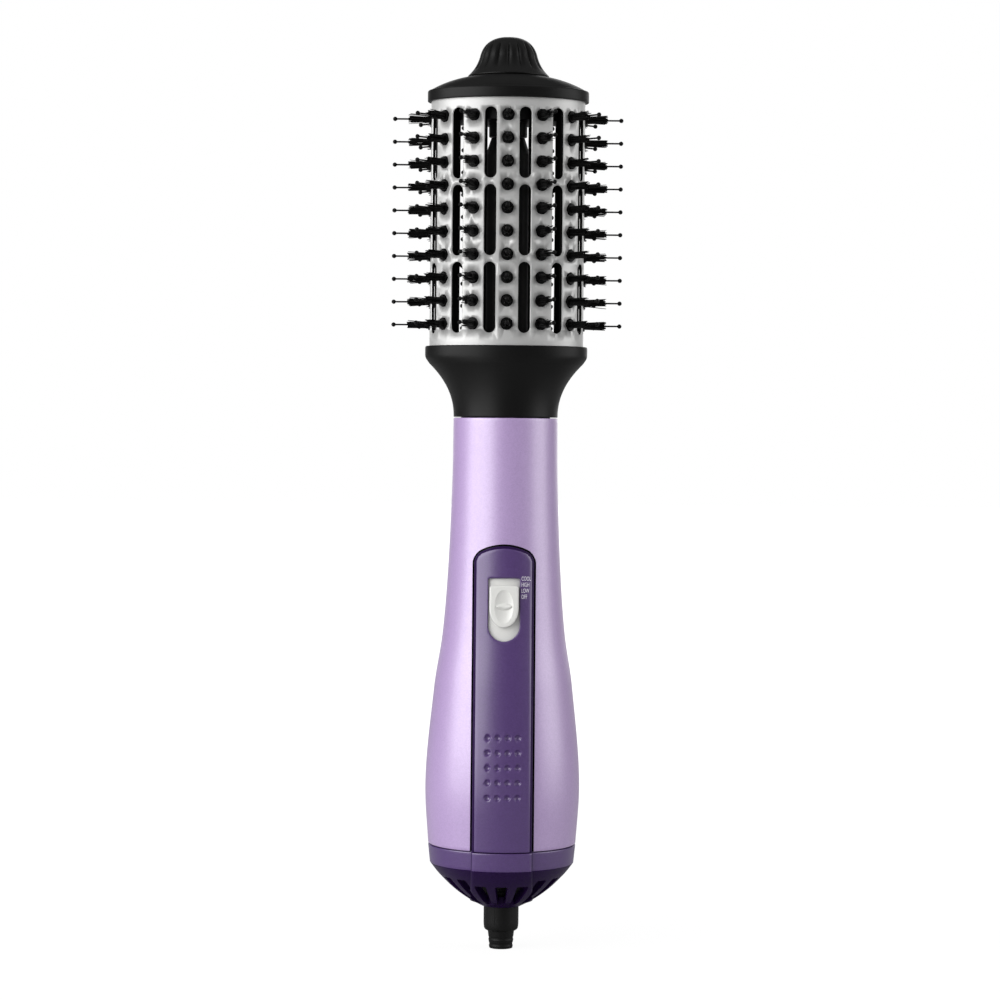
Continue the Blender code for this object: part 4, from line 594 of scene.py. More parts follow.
# ---------------------------------------------------------------- housing
@dataclass
class Handle:
    """The two housing halves and the screws that hold them; sizes in millimetres."""

    seam: float
    neck: float
    screw_heights: tuple[float, float]
    wall: float = 2.2
    parting: float = 0.15
    edge: float = 0.3
    well_r: float = 2.7
    post_r: float = 3.9
    well_depth: float = 12.0
    head_r: float = 2.4
    head_height: float = 1.8
    head_turns: tuple[float, float] = (0.35, 1.1)  # how far each screw is turned, in radians
    around: int = 120
    upward: int = 110
    stations: tuple[tuple[float, float], ...] = (
        (0.0, 24.4), (18.5, 25.5), (52.3, 22.8), (69.7, 20.2), (92.0, 18.5), (121.0, 17.4),
        (141.2, 17.2),
    )

    def slope(self, i: int) -> float:
        """Gives the outline's slope at a station, level where the outline turns."""
        last = len(self.stations) - 1
        (z0, r0), (z1, r1) = self.stations[max(i - 1, 0)], self.stations[min(i + 1, last)]
        r = self.stations[i][1]
        if 0 < i < last and (r - r0) * (r1 - r) <= 0:
            return 0.0
        return (r1 - r0) / (z1 - z0)

    def radius(self, z: float) -> float:
        """Gives the outer radius at a height, on a smooth curve through the stations."""
        rise = min(max(z, self.seam), self.neck) - self.seam
        i = max(k for k in range(len(self.stations) - 1) if self.stations[k][0] <= rise + 1e-9)
        (z0, r0), (z1, r1) = self.stations[i], self.stations[i + 1]
        span = z1 - z0
        t = (rise - z0) / span
        m0, m1 = self.slope(i) * span, self.slope(i + 1) * span
        value = (2 * t**3 - 3 * t**2 + 1) * r0 + (t**3 - 2 * t**2 + t) * m0
        return value + (3 * t**2 - 2 * t**3) * r1 + (t**3 - t**2) * m1

    def surface(self, x: float, z: float, proud: float = 0.0) -> Vector:
        """Gives the point of the front at x and z, that far proud of the housing."""
        reach = max((self.radius(z) + proud) ** 2 - x * x, 0.0)
        return Vector((x, -math.sqrt(reach), z))

    def section(self, z: float, side: int, inset: float) -> list[Vector]:
        """Gives the C-shaped cross-section of one half; the rear has a lap that fills the seam.

        Args:
            z: height.
            side: -1 for the front half and 1 for the rear.
            inset: how far the outer edge is rounded away here.

        Returns:
            The closed ring of points.
        """
        outer, inner = self.radius(z) - inset, self.radius(z) - self.wall
        soft = self.parting + self.edge
        lap = self.parting if side < 0 else 0.01 - self.parting
        start, end = math.asin(soft / outer), math.asin(lap / inner)
        turns = spread(start, math.pi - start, self.around)
        arc = [(outer * math.cos(t), outer * math.sin(t)) for t in turns]
        turns = spread(math.pi - end, end, self.around)
        back = [(inner * math.cos(t), inner * math.sin(t)) for t in turns]
        tip = [(outer - 0.3 * self.edge, soft - 0.7 * self.edge), (outer - self.edge, self.parting)]
        if side > 0:
            middle = inner + self.wall / 2
            tip += [(middle, self.parting), (middle, lap)]
        ring = arc + [(-x, y) for x, y in tip] + back + tip[::-1]
        return [Vector((x, side * y, z)) for x, y in ring]

    def half(self, name: str, side: int) -> bpy.types.Object:
        """Makes one half shell, before anything is cut in it."""
        low, high = self.seam + GAP, self.neck - GAP
        ends = [(0.0, self.edge), (0.3 * self.edge, 0.3 * self.edge), (self.edge, 0.0)]
        past = 4 * self.edge
        heights = [(low + rise, inset) for rise, inset in ends]
        heights += [(z, 0.0) for z in spread(low + past, high - past, self.upward)]
        heights += [(high - rise, inset) for rise, inset in ends[::-1]]
        rings = [self.section(z, side, inset) for z, inset in heights]
        return Skin().loft(rings).build(name)

    def head_seat(self, z: float) -> float:
        """Gives how far back a screw's head stands."""
        return self.radius(z) - self.well_depth

    def post(self, z: float, radius: float, near: float, far: float) -> bpy.types.Object:
        """Makes a round bar along Y between two depths."""
        ring = circle(radius, 32, (0.0, z))
        return Skin().loft([[(x, y, h) for x, h in ring] for y in (near, far)]).build("post")

    def rear(self) -> bpy.types.Object:
        """Makes the rear half with its two sunk screw wells."""
        half = self.half("rear_shell", 1)
        for z in self.screw_heights:
            seat, outside = self.head_seat(z), self.radius(z)
            carve(half, self.post(z, self.post_r, seat - 2.0, outside - 1.0), "UNION")
            carve(half, self.post(z, self.well_r, seat, outside + 2.0))
        return half

    def front(self, panel: "Panel") -> bpy.types.Object:
        """Makes the front half with the pocket for the panel and the switch's opening."""
        half = self.half("front_shell", -1)
        carve(half, panel.pocket(panel.shadow, panel.pocket_depth))
        carve(half, panel.switch_opening())
        return half

    def gap_shadow_faces(self, mesh: bpy.types.Mesh, panel: "Panel") -> list[int]:
        """Gives the faces of the panel's pocket, which are painted black as the shadow in the gap
        round the panel.
        """
        faces, slack = [], 0.05
        wide = panel.half_width + panel.shadow + slack
        for face in mesh.polygons:
            x, y, z = face.center / MM
            sunk = y < 0 and self.radius(z) - math.hypot(x, y) > slack
            if sunk and abs(x) < wide and z < panel.arch(x, panel.shadow) + slack:
                faces.append(face.index)
        return faces

    def screws(self) -> bpy.types.Object:
        """Makes both cross-head screws in the bottoms of their wells."""
        r, high = self.head_r, self.head_height
        head = [(0, 0, 0), (r, 0, 0.1), (r, 0.5 * high, 0.5), (0.6 * r, high, 0.6), (0, high, 0)]
        screw = turned("screw", round_corners(head), 24, 3)
        arm, width, foot = 0.62 * r, 0.14 * r, 0.35 * high
        corners = [(-arm, -width), (arm, -width), (arm, width), (-arm, width)]
        for turn in (0.0, math.pi / 2):
            turn_by = Matrix.Rotation(turn, 3, "Z")
            slot = [[turn_by @ Vector((x, y, z)) for x, y in corners] for z in (foot, high + 1.0)]
            carve(screw, Skin().loft(slot).build("slot"))
        seats = [(0.0, self.head_seat(z), z) for z in self.screw_heights]
        turns = [(-math.pi / 2, 0.0, turn) for turn in self.head_turns]
        inputs = {"Template": screw, "Finish": ZINC_STEEL.material()}
        made = grow("housing_screws", seed_mesh(seats, turns), repeat_tree(), inputs)
        remove(screw)
        return renamed(made, "housing_screws")

    def build(self, panel: "Panel") -> None:
        """Makes and dresses the halves and their screws."""
        front = renamed(self.front(panel), "front_shell")
        rear = renamed(self.rear(), "rear_shell")
        dressed(front, LILAC_LACQUER, "handle", "housing_front")
        # Painted shadow: the pocket round the panel gets black nylon, so the gap shows dark.
        also_finished(front, BLACK_NYLON, self.gap_shadow_faces(front.data, panel))
        dressed(rear, LILAC_LACQUER, "handle", "housing_rear")
        screws = ("housing_screw_lower", "housing_screw_upper")
        dressed(self.screws(), ZINC_STEEL, "handle", *screws)


def repeat_tree() -> bpy.types.NodeTree:
    """Gives the tree that sets a template at every point, turned as the point says."""
    known = bpy.data.node_groups.get("repeat")
    if known:
        return known
    kinds = {"Points": "Geometry", "Template": "Object", "Finish": "Material"}
    tree, given = geometry_tree("repeat", kinds)
    shape = add_node(tree, "GeometryNodeObjectInfo", {"Object": given.outputs["Template"]})
    kind = {"data_type": "FLOAT_VECTOR"}
    turn = add_node(tree, "GeometryNodeInputNamedAttribute", {"Name": "turn"}, kind)
    inputs = {
        "Points": given.outputs["Points"],
        "Instance": shape.outputs["Geometry"],
        "Rotation": add_node(tree, "FunctionNodeEulerToRotation", {0: turn}),
    }
    copies = add_node(tree, "GeometryNodeInstanceOnPoints", inputs)
    end_tree(tree, copies, given.outputs["Finish"])
    return tree


# ---------------------------------------------------------------- panel
@dataclass
class Panel:
    """The arched control panel let into the front of the handle; sizes in millimetres."""

    handle: Handle
    top: float
    half_width: float = 9.75
    arch_r: float = 16.0
    corner: float = 2.0
    proud: float = 1.5
    roll: float = 1.6
    roll_reaches: tuple[float, ...] = (0.0, 0.06, 0.15, 0.3, 0.5, 0.75, 1.0, 1.3, 1.6)
    lip: float = 0.35
    arch_zone: float = 12.0
    sunk_foot: float = 0.12
    seat: float = 0.7
    shadow: float = 0.6
    pocket_depth: float = 1.0
    window_width: float = 10.2
    window_length: float = 20.4
    over_window: float = 10.45
    window_steps: tuple[tuple[float, float], ...] = (
        (-4.0, 0.0), (-0.4, 0.0), (-0.12, 0.12), (0.01, 0.3), (3.0, 0.35),
    )
    lever_slot: tuple[tuple[float, float], ...] = (
        (-1.8, -7.5), (1.8, -7.5), (1.8, 5.5), (-1.8, 5.5),
    )
    dimple_r: float = 1.1
    dimple_depth: float = 0.7
    dimple_grid: tuple[int, int] = (4, 5)
    dimple_pitch: tuple[float, float] = (3.27, 4.84)
    dimple_rise: float = 27.9
    cap_height: float = 1.35
    word_narrow: float = 0.57
    word_pitch: float = 1.95
    word_x: float = 5.65
    word_drop: float = 0.65
    ink_high: float = 0.03
    ink_sunk: float = 0.1
    dark_below: float = 0.89
    recess_half: float = 6.4
    recess_faces: tuple[float, float] = (-0.45, 3.0)
    recess_span: tuple[float, float] = (-17.0, 17.0)

    def __post_init__(self) -> None:
        """Places the window and keeps the outline that the edge is rolled along."""
        self.window_z = self.top - self.over_window - self.window_length / 2
        self.edge_line = self.outline()

    def arch(self, x: float, grow_by: float = 0.0) -> float:
        """Gives the height of the arched top at x, for an outline grown by that much."""
        half = self.half_width + grow_by
        x = min(abs(x), half)
        radius = self.arch_r + grow_by
        top = self.top + grow_by - radius + math.sqrt(radius**2 - x * x)
        corner = self.corner + grow_by
        into_corner = (x - half + corner) / corner
        if into_corner > 0:
            top -= corner * (1 - math.sqrt(max(0.0, 1 - into_corner**2)))
        return top

    def outline(self, grow_by: float = 0.0) -> np.ndarray:
        """Gives the sides and the arch as a line of points, from foot to foot."""
        half = self.half_width + grow_by
        turns = spread(math.pi, 0, 80)
        arch = [(half * math.cos(t), self.arch(half * math.cos(t), grow_by)) for t in turns]
        foot = self.handle.seam
        return np.array([(-half, foot), *arch, (half, foot)])

    def share(self, x: float, z: float) -> float:
        """Gives the share of the full height at a point, rolled off towards the outline."""
        line = self.edge_line
        start, along = line[:-1], line[1:] - line[:-1]
        offset = np.array((x, z)) - start
        t = np.clip((offset * along).sum(1) / (along**2).sum(1), 0, 1)
        distance = np.hypot(*(offset - along * t[:, None]).T).min()
        foot = min((z - self.handle.seam - GAP) / self.lip, 1.0)
        return self.rolled_off(distance) - self.sunk_foot * (1 - foot) ** 2

    def rolled_off(self, reach: float) -> float:
        """Gives the share of the full height that far in from the outline."""
        t = min(reach / self.roll, 1.0)
        return self.lip + (1 - self.lip) * math.sqrt(1 - (1 - t) ** 2)

    def columns(self) -> list[float]:
        """Gives positions across the panel, closer together at its rolled edges."""
        edge = [self.half_width - reach for reach in self.roll_reaches]
        flat = edge[-1]
        return [-x for x in edge] + spread(-flat, flat, 36)[1:-1] + edge[::-1]

    def rows(self, x: float) -> list[float]:
        """Gives heights up the panel at x, closer together at the arch."""
        foot, top = self.handle.seam + GAP, self.arch(x)
        reaches = [2.4, 2.0, *self.roll_reaches[::-1]]
        level = self.top - self.arch_zone
        low = [foot + rise for rise in (0.0, 0.1, 0.2, 0.35)] + spread(foot + 1.0, level, 100)
        return low + spread(level, top - reaches[0], 8)[1:-1] + [top - reach for reach in reaches]

    def slab(self) -> bpy.types.Object:
        """Makes the panel before its window and dimples are cut."""
        surface = self.handle.surface
        outer, inner = [], []
        for x in self.columns():
            heights = self.rows(x)
            outer.append([surface(x, z, self.proud * self.share(x, z)) for z in heights])
            inner.append([surface(x, z, -self.seat) for z in heights])
        return closed_sheet(outer, inner).build("panel", 60.0)

    def pocket(self, grow_by: float, depth: float) -> bpy.types.Object:
        """Makes a tool that sinks the panel's pocket in the front shell.

        Args:
            grow_by: how far the pocket is wider than the panel.
            depth: how deep it is.

        Returns:
            The tool.
        """
        half, seam, over = self.half_width + grow_by, self.handle.seam, 2.0
        level = self.top - self.arch_zone
        outer, inner = [], []
        for turn in spread(math.pi, 0, 60):
            x = half * math.cos(turn)
            heights = [seam - over, seam, *spread(seam + over, level, 60)]
            heights += spread(level, self.arch(x, grow_by), 8)[1:]
            outer.append([self.handle.surface(x, z, 2 * self.proud) for z in heights])
            inner.append([self.handle.surface(x, z, -depth) for z in heights])
        return closed_sheet(outer, inner).build("pocket")

    def switch_matrix(self) -> Matrix:
        """Gives the switch's frame: X across, Z up the slope, -Y out of the surface."""
        step = self.window_length / 2
        fall = self.handle.radius(self.window_z - step) - self.handle.radius(self.window_z + step)
        tilt = math.atan(fall / (2 * step))
        at = Matrix.Translation((0.0, -self.handle.radius(self.window_z), self.window_z))
        return at @ Matrix.Rotation(-tilt, 4, "X")

    def window_outline(self, grow_by: float = 0.0) -> list[tuple[float, float]]:
        """Gives the window as (x, z) in the switch's frame: square top, half-round foot."""
        half, reach = self.window_width / 2 + grow_by, self.window_length / 2 + grow_by
        soft, turns = 0.5 + grow_by, spread(math.pi, math.tau, 24)
        corners = [(half * math.cos(t), half - reach + half * math.sin(t), 0.0) for t in turns]
        corners += [(half, reach, soft), (-half, reach, soft)]
        return [tuple(point) for point in rounded(corners)]

    def window_tool(self) -> bpy.types.Object:
        """Makes the tool that cuts the window, with a lip that follows the panel's curve."""
        tilted = self.switch_matrix()
        rings = []
        for depth, flare in self.window_steps:
            places = [tilted @ Vector((x, 0.0, z)) for x, z in self.window_outline(flare)]
            rings.append([self.handle.surface(at.x, at.z, self.proud + depth) for at in places])
        return Skin().loft(rings).build("window")

    def curved_plate(
        self, half: float, faces: tuple[float, float], span: tuple[float, float]
    ) -> bpy.types.Object:
        """Makes a plate in the switch's frame that keeps to the housing's curve.

        Args:
            half: half its width.
            faces: depths of its outer and inner face below the housing's surface.
            span: heights of its foot and top.

        Returns:
            The plate.
        """
        radius = self.handle.radius(self.window_z)
        grids = []
        for depth in faces:
            rows = []
            for x in spread(-half, half, 24):
                sag = radius - math.sqrt(radius**2 - x * x)
                rows.append([Vector((x, depth + sag, z)) for z in spread(*span, 12)])
            grids.append(rows)
        return closed_sheet(*grids).build("plate")

    def recess(self) -> bpy.types.Object:
        """Makes the tool that hollows the panel's back, so that the switch's flange can slide."""
        tool = self.curved_plate(self.recess_half, self.recess_faces, self.recess_span)
        tool.data.transform(in_metres(self.switch_matrix()))
        return tool

    def switch_opening(self) -> bpy.types.Object:
        """Makes the tool that cuts the lever's slot through the front shell."""
        tilted, through = self.switch_matrix(), (-6.0, 6.0)
        rings = [[tilted @ Vector((x, y, z)) for x, z in self.lever_slot] for y in through]
        return Skin().loft(rings).build("opening")

    def dimples(self) -> bpy.types.Object:
        """Makes the tools of all the dimples as one mesh."""
        r, deep = self.dimple_r, self.dimple_depth
        bowl = (r * r + deep * deep) / (2 * deep)
        turns = spread(0, math.asin(r / bowl), 6)
        outline = [(bowl * math.sin(t), bowl * (1 - math.cos(t)) - deep) for t in turns]
        outline += [(r + 0.12, 0.06), (r + 0.3, deep), (0.0, deep)]
        tool = turned("dimple", [(x, x, z, 0.0) for x, z in outline], 24)
        seats, turns = [], []
        middle, (across, up) = self.handle.seam + self.dimple_rise, self.dimple_pitch
        columns, rows = self.dimple_grid
        for column in range(columns):
            for row in range(rows):
                x = (column - (columns - 1) / 2) * across
                z = middle + (row - (rows - 1) / 2) * up
                seats.append(self.handle.surface(x, z, self.proud))
                turns.append((math.pi / 2, 0.0, math.asin(x / self.handle.radius(z))))
        inputs = {"Template": tool, "Finish": PLUM_LACQUER.material()}
        made = grow("dimples", seed_mesh(seats, turns), repeat_tree(), inputs)
        remove(tool)
        return made

    def words(self) -> bpy.types.Object:
        """Makes the four settings' names beside the window as thin raised ink."""
        made = []
        for i, word in enumerate(("COOL", "HIGH", "LOW", "OFF")):
            curve = bpy.data.curves.new(word, "FONT")
            curve.body, curve.size, curve.extrude = word, 1.0, 0.02
            text = bpy.data.objects.new(word, curve)
            bpy.context.scene.collection.objects.link(text)
            graph = bpy.context.evaluated_depsgraph_get()
            mesh = bpy.data.meshes.new_from_object(text.evaluated_get(graph))
            bpy.data.objects.remove(text)
            made.append(self.laid(mesh, i))
        ink = made[0]
        for other in made[1:]:
            ink = join(ink, other)
        ink.name = "setting_words"
        return ink

    def laid(self, mesh: bpy.types.Mesh, line: int) -> bpy.types.Object:
        """Lays a word's mesh on the panel, on its line counted from the top."""
        flat = np.array([v.co[:] for v in mesh.vertices])
        flat[:, :2] -= flat[:, :2].min(0)
        flat[:, :2] *= self.cap_height / flat[:, 1].max()
        flat[:, 0] *= self.word_narrow
        foot = self.window_z + self.window_length / 2 - self.word_drop - line * self.word_pitch
        for vertex, (x, z, high) in zip(mesh.vertices, flat, strict=True):
            proud = self.proud + (self.ink_high if high > 0 else -self.ink_sunk)
            vertex.co = self.handle.surface(self.word_x + x, foot + z, proud) * MM
        body = bmesh.new()
        body.from_mesh(mesh)
        bmesh.ops.remove_doubles(body, verts=body.verts, dist=1e-6)
        bmesh.ops.recalc_face_normals(body, faces=body.faces)
        body.to_mesh(mesh)
        body.free()
        return place("word", mesh)

    def roll_shade_faces(self, mesh: bpy.types.Mesh) -> list[int]:
        """Finds the faces of the rolled edge, which get painted shade: a darker plum where the edge
        turns away.
        """
        return [
            face.index for face in mesh.polygons
            if self.share(face.center.x / MM, face.center.z / MM) < self.dark_below
        ]

    def build(self) -> None:
        """Makes and dresses the panel and its lettering."""
        panel = self.slab()
        carve(panel, self.recess())
        carve(panel, self.window_tool())
        carve(panel, self.dimples())
        dressed(panel, PLUM_LACQUER, "handle", "control_panel")
        # Painted shade: the rolled edge gets the darker plum, where it turns from the light.
        also_finished(panel, PLUM_PAINTED_SHADE, self.roll_shade_faces(panel.data))
        dressed(self.words(), WHITE_INK, "handle")


def closed_sheet(outer: list[list[Vector]], inner: list[list[Vector]]) -> Skin:
    """Makes a closed solid from two matching grids of points.

    Args:
        outer: rows of points of the outer face.
        inner: rows of points of the inner face.

    Returns:
        The skin.
    """
    skin = Skin()
    grids = [[skin.ring(row) for row in grid] for grid in (outer, inner)]
    for rows in grids:
        for low, high in zip(rows, rows[1:], strict=False):
            skin.band(low, high, closed=False)
    top, bottom = grids
    for end in (0, -1):
        skin.band(top[end], bottom[end], closed=False)
    for end in (0, -1):
        skin.band([row[end] for row in top], [row[end] for row in bottom], closed=False)
    return skin


def join(kept: bpy.types.Object, other: bpy.types.Object) -> bpy.types.Object:
    """Adds another object's mesh to the kept one, and takes the other out of the file."""
    body = bmesh.new()
    body.from_mesh(kept.data)
    body.from_mesh(other.data)
    body.to_mesh(kept.data)
    body.free()
    remove(other)
    return kept


# ---------------------------------------------------------------- switch
@dataclass
class SlideSwitch:
    """The thumb button and its dust flange; sizes in millimetres in the switch's frame."""

    panel: Panel
    width: float = 9.5
    length: float = 13.6
    rest: float = 1.0
    top: float = -2.5
    soft: float = 0.5
    foot_depth: float = 6.2
    dish: tuple[float, float, float] = (3.1, 5.45, 0.95)
    ridge: tuple[float, float, float] = (2.75, 1.2, 0.8)
    flange_half: float = 6.2
    flange_faces: tuple[float, float] = (-0.3, 0.15)
    flange_span: tuple[float, float] = (-12.7, 14.7)

    def outline(self, inset: float) -> list[Vector]:
        """Gives the button's outline drawn in by an inset: square top, long oval foot."""
        half, reach, deep = self.width / 2 - inset, self.length / 2 - inset, self.foot_depth
        waist, turns = deep - reach, spread(math.pi, math.tau, 44)
        foot = [(half * math.cos(t), waist + deep * math.sin(t), 0.0) for t in turns]
        side = [(half, z, 0.0) for z in spread(waist, reach - 1.0, 10)[1:]]
        level = [(x, reach, 0.0) for x in spread(half - 1.2, 1.2 - half, 16)]
        corners = foot + side + [(half, reach, 0.9), *level, (-half, reach, 0.9)]
        corners += [(-x, z, soft) for x, z, soft in side[::-1]]
        return rounded(corners, 5)

    def rings(self) -> list[list[tuple[float, float, float]]]:
        """Gives the top face's rings as x, z and depth: level rim, dish edge, dish floor."""
        a, b, deep = self.dish
        rim = self.outline(self.soft)
        turns = [math.atan2(p.y / b, p.x / a) for p in rim]
        edge = [Vector((a * math.cos(t), b * math.sin(t))) for t in turns]
        made = []
        for share in spread(0, 1, 8):
            level = [p.lerp(q, share) for p, q in zip(rim, edge, strict=True)]
            made.append([(*p, 0.0) for p in level])
        for share in spread(1.0, 0.0, 44)[1:-1]:
            hollow = deep * (1 - share**2.2) ** 0.8
            made.append([(*(p * share), hollow - self.lens(p * share)) for p in edge])
        return [*made, [(0.0, 0.0, deep - self.lens(Vector((0.0, 0.0))))]]

    def lens(self, at: Vector) -> float:
        """Gives the height of the lens-shaped finger ridge at a point of the dish."""
        long, tall, high = self.ridge
        half = tall * max(1 - (at.x / long) ** 2, 0.0)
        if half < 1e-6 or abs(at.y) >= half:
            return 0.0
        return high * (1 - (at.y / half) ** 2) * min(2 * half / tall, 1.0)

    def button(self) -> bpy.types.Object:
        """Makes the button's block with its dished top."""
        foot, bevel = self.flange_faces[0] + 0.4, 0.3 * self.soft
        flanks = ((foot, 0.0), (self.top + self.soft, 0.0), (self.top + bevel, bevel))
        rings = [
            [(p.x, depth, p.y + self.rest) for p in self.outline(inset)] for depth, inset in flanks
        ]
        for ring in self.rings():
            rings.append([(x, self.top + deep, z + self.rest) for x, z, deep in ring])
        return Skin().loft(rings).build("button", 30.0)

    def build(self) -> None:
        """Makes and dresses the button with its flange."""
        flange = self.panel.curved_plate(self.flange_half, self.flange_faces, self.flange_span)
        button = carve(self.button(), flange, "UNION")
        button.data.transform(in_metres(self.panel.switch_matrix()))
        dressed(renamed(button, "thumb_button"), SILVER_LACQUER, "power_slider", "slide_button")


def in_metres(matrix: Matrix) -> Matrix:
    """Turns a matrix in millimetres to one in metres."""
    changed = matrix.copy()
    changed.translation *= MM
    return changed


def renamed(made: bpy.types.Object, name: str) -> bpy.types.Object:
    """Gives an object and its mesh a name, smooth again after it was cut."""
    made.name = made.data.name = name
    made.data.set_sharp_from_angle(angle=math.radians(38))
    return made


# ---------------------------------------------------------------- tail cap
@dataclass
class TailCap:
    """The vented bowl at the handle's foot; sizes in millimetres."""

    panel: Panel
    tail: float
    seam: float
    mouth: float = 6.1
    flat: float = 6.5
    crease: tuple[float, float] = (23.8, 28.8)
    seam_r: float = 24.4
    bulge: float = 1.5
    wall: float = 2.0
    floor: float = 17.7
    lip_r: float = 21.9
    lip_top: float = 38.8
    vents: int = 18
    thin: tuple[float, float] = (1.1, 1.9)  # how far in and up the inner face lies
    fade: tuple[float, float] = (8.5, 11.5)  # radii over which the ridge rises
    pinch: float = 0.93
    ridge_angle: float = 24.0
    vent_angle: float = 11.7
    vent_radii: tuple[float, float] = (9.3, 20.6)

    def outside(self) -> list[tuple[float, float]]:
        """Gives the bowl's outer outline as (radius, height), from the mouth to the seam."""
        arc = bowed((self.flat, self.tail), self.crease, self.bulge, 40)
        rise = bowed(self.crease, (self.seam_r - 0.02, self.seam - 0.45), 0.0, 7)
        return arc + rise[1:]

    def outline(self) -> list[tuple[float, float, float]]:
        """Gives the closed outline as radius, height and share of the ridge on it."""
        soft = ((0.02, 0.2), (0.1, 0.06), (0.3, 0.0))
        outer = self.outside() + [(self.seam_r - inset, self.seam - drop) for inset, drop in soft]
        high, mouth, (thin_r, thin_z) = self.lip_top, self.mouth, self.thin
        inside = [(self.lip_r, self.seam), (self.lip_r, high), (self.lip_r - self.wall, high)]
        for r, z in self.outside()[::-4]:
            if z + thin_z > self.floor:
                inside.append((max(r - thin_r, mouth), z + thin_z))
        inside += [(mouth, self.floor), (mouth, self.tail + 0.2), (mouth + 0.2, self.tail)]
        return [(r, z, 1.0) for r, z in outer] + [(r, z, 0.0) for r, z in inside]

    def ridge_columns(self) -> list[tuple[float, float]]:
        """Gives positions across the ridge and the ridge's height share at each."""
        panel = self.panel
        sides = [(panel.half_width, 0.0), (panel.half_width, panel.lip)]
        for reach in panel.roll_reaches[2:]:
            sides.append((panel.half_width - reach, panel.rolled_off(reach)))
        flat = panel.half_width - panel.roll
        left = [(-x, share) for x, share in sides]
        return left + [(x, 1.0) for x in spread(-flat, flat, 20)[1:-1]] + sides[::-1]

    def ring(self, r: float, z: float, ridge: float) -> list[Vector]:
        """Gives a ring of the bowl, pushed out where the ridge runs down its front."""
        narrow = min(1.0, self.pinch * r / self.panel.half_width)
        fade = ridge * self.panel.proud * smooth_step(*self.fade, r)
        points = []
        for x, share in self.ridge_columns():
            angle = math.asin(narrow * x / r)
            out = r + fade * share
            points.append(Vector((out * math.sin(angle), -out * math.cos(angle), z)))
        edge = math.asin(narrow * self.panel.half_width / r)
        for angle in spread(edge, math.tau - edge, 150)[1:-1]:
            points.append(Vector((r * math.sin(angle), -r * math.cos(angle), z)))
        return points

    def vent_tools(self) -> bpy.types.Object:
        """Makes the tools that cut all the vents."""
        low, high = self.vent_radii
        half = math.radians(self.vent_angle / 2)
        inner, outer = low * math.tan(half), high * math.tan(half)
        corners = [(low, -inner, 0.35), (high, -outer, 0.8), (high, outer, 0.8), (low, inner, 0.35)]
        ring, heights = rounded(corners), (self.tail - 2, self.crease[1])
        wedge = Skin().loft([[(p.x, p.y, z) for p in ring] for z in heights]).build("vent")
        step = 360 / self.vents
        turns = [(0.0, 0.0, math.radians(-90 + step * i)) for i in range(self.vents)]
        seeds = seed_mesh([(0, 0, 0)] * self.vents, turns)
        inputs = {"Template": wedge, "Finish": PLUM_LACQUER.material()}
        made = grow("vents", seeds, repeat_tree(), inputs)
        remove(wedge)
        return made

    def build(self) -> None:
        """Makes and dresses the bowl."""
        rings = [self.ring(*corner) for corner in self.outline()]
        bowl = Skin().loft(rings, wrap=True).build("tail_bowl")
        carve(bowl, self.vent_tools())
        dressed(renamed(bowl, "tail_bowl"), PLUM_LACQUER, "handle", "tail_cap")
        # Painted shade: the bowl below its crease and the steep sides of the ridge get the darker
        # plum, where they turn from the light.
        line = self.crease[1] * MM
        dark = [
            face.index for face in bowl.data.polygons
            if face.center.z < line or (face.center.y < 0 and self.on_ridge_side(face))
        ]
        also_finished(bowl, PLUM_PAINTED_SHADE, dark)

    def on_ridge_side(self, face: bpy.types.MeshPolygon) -> bool:
        """Tells whether a face belongs to the steep side of the ridge."""
        out = Vector((face.center.x, face.center.y)).normalized()
        flat = Vector((face.normal.x, face.normal.y))
        upright = flat.length > 0.7 and out.dot(flat) > 0
        return upright and out.dot(flat.normalized()) < math.cos(math.radians(self.ridge_angle))


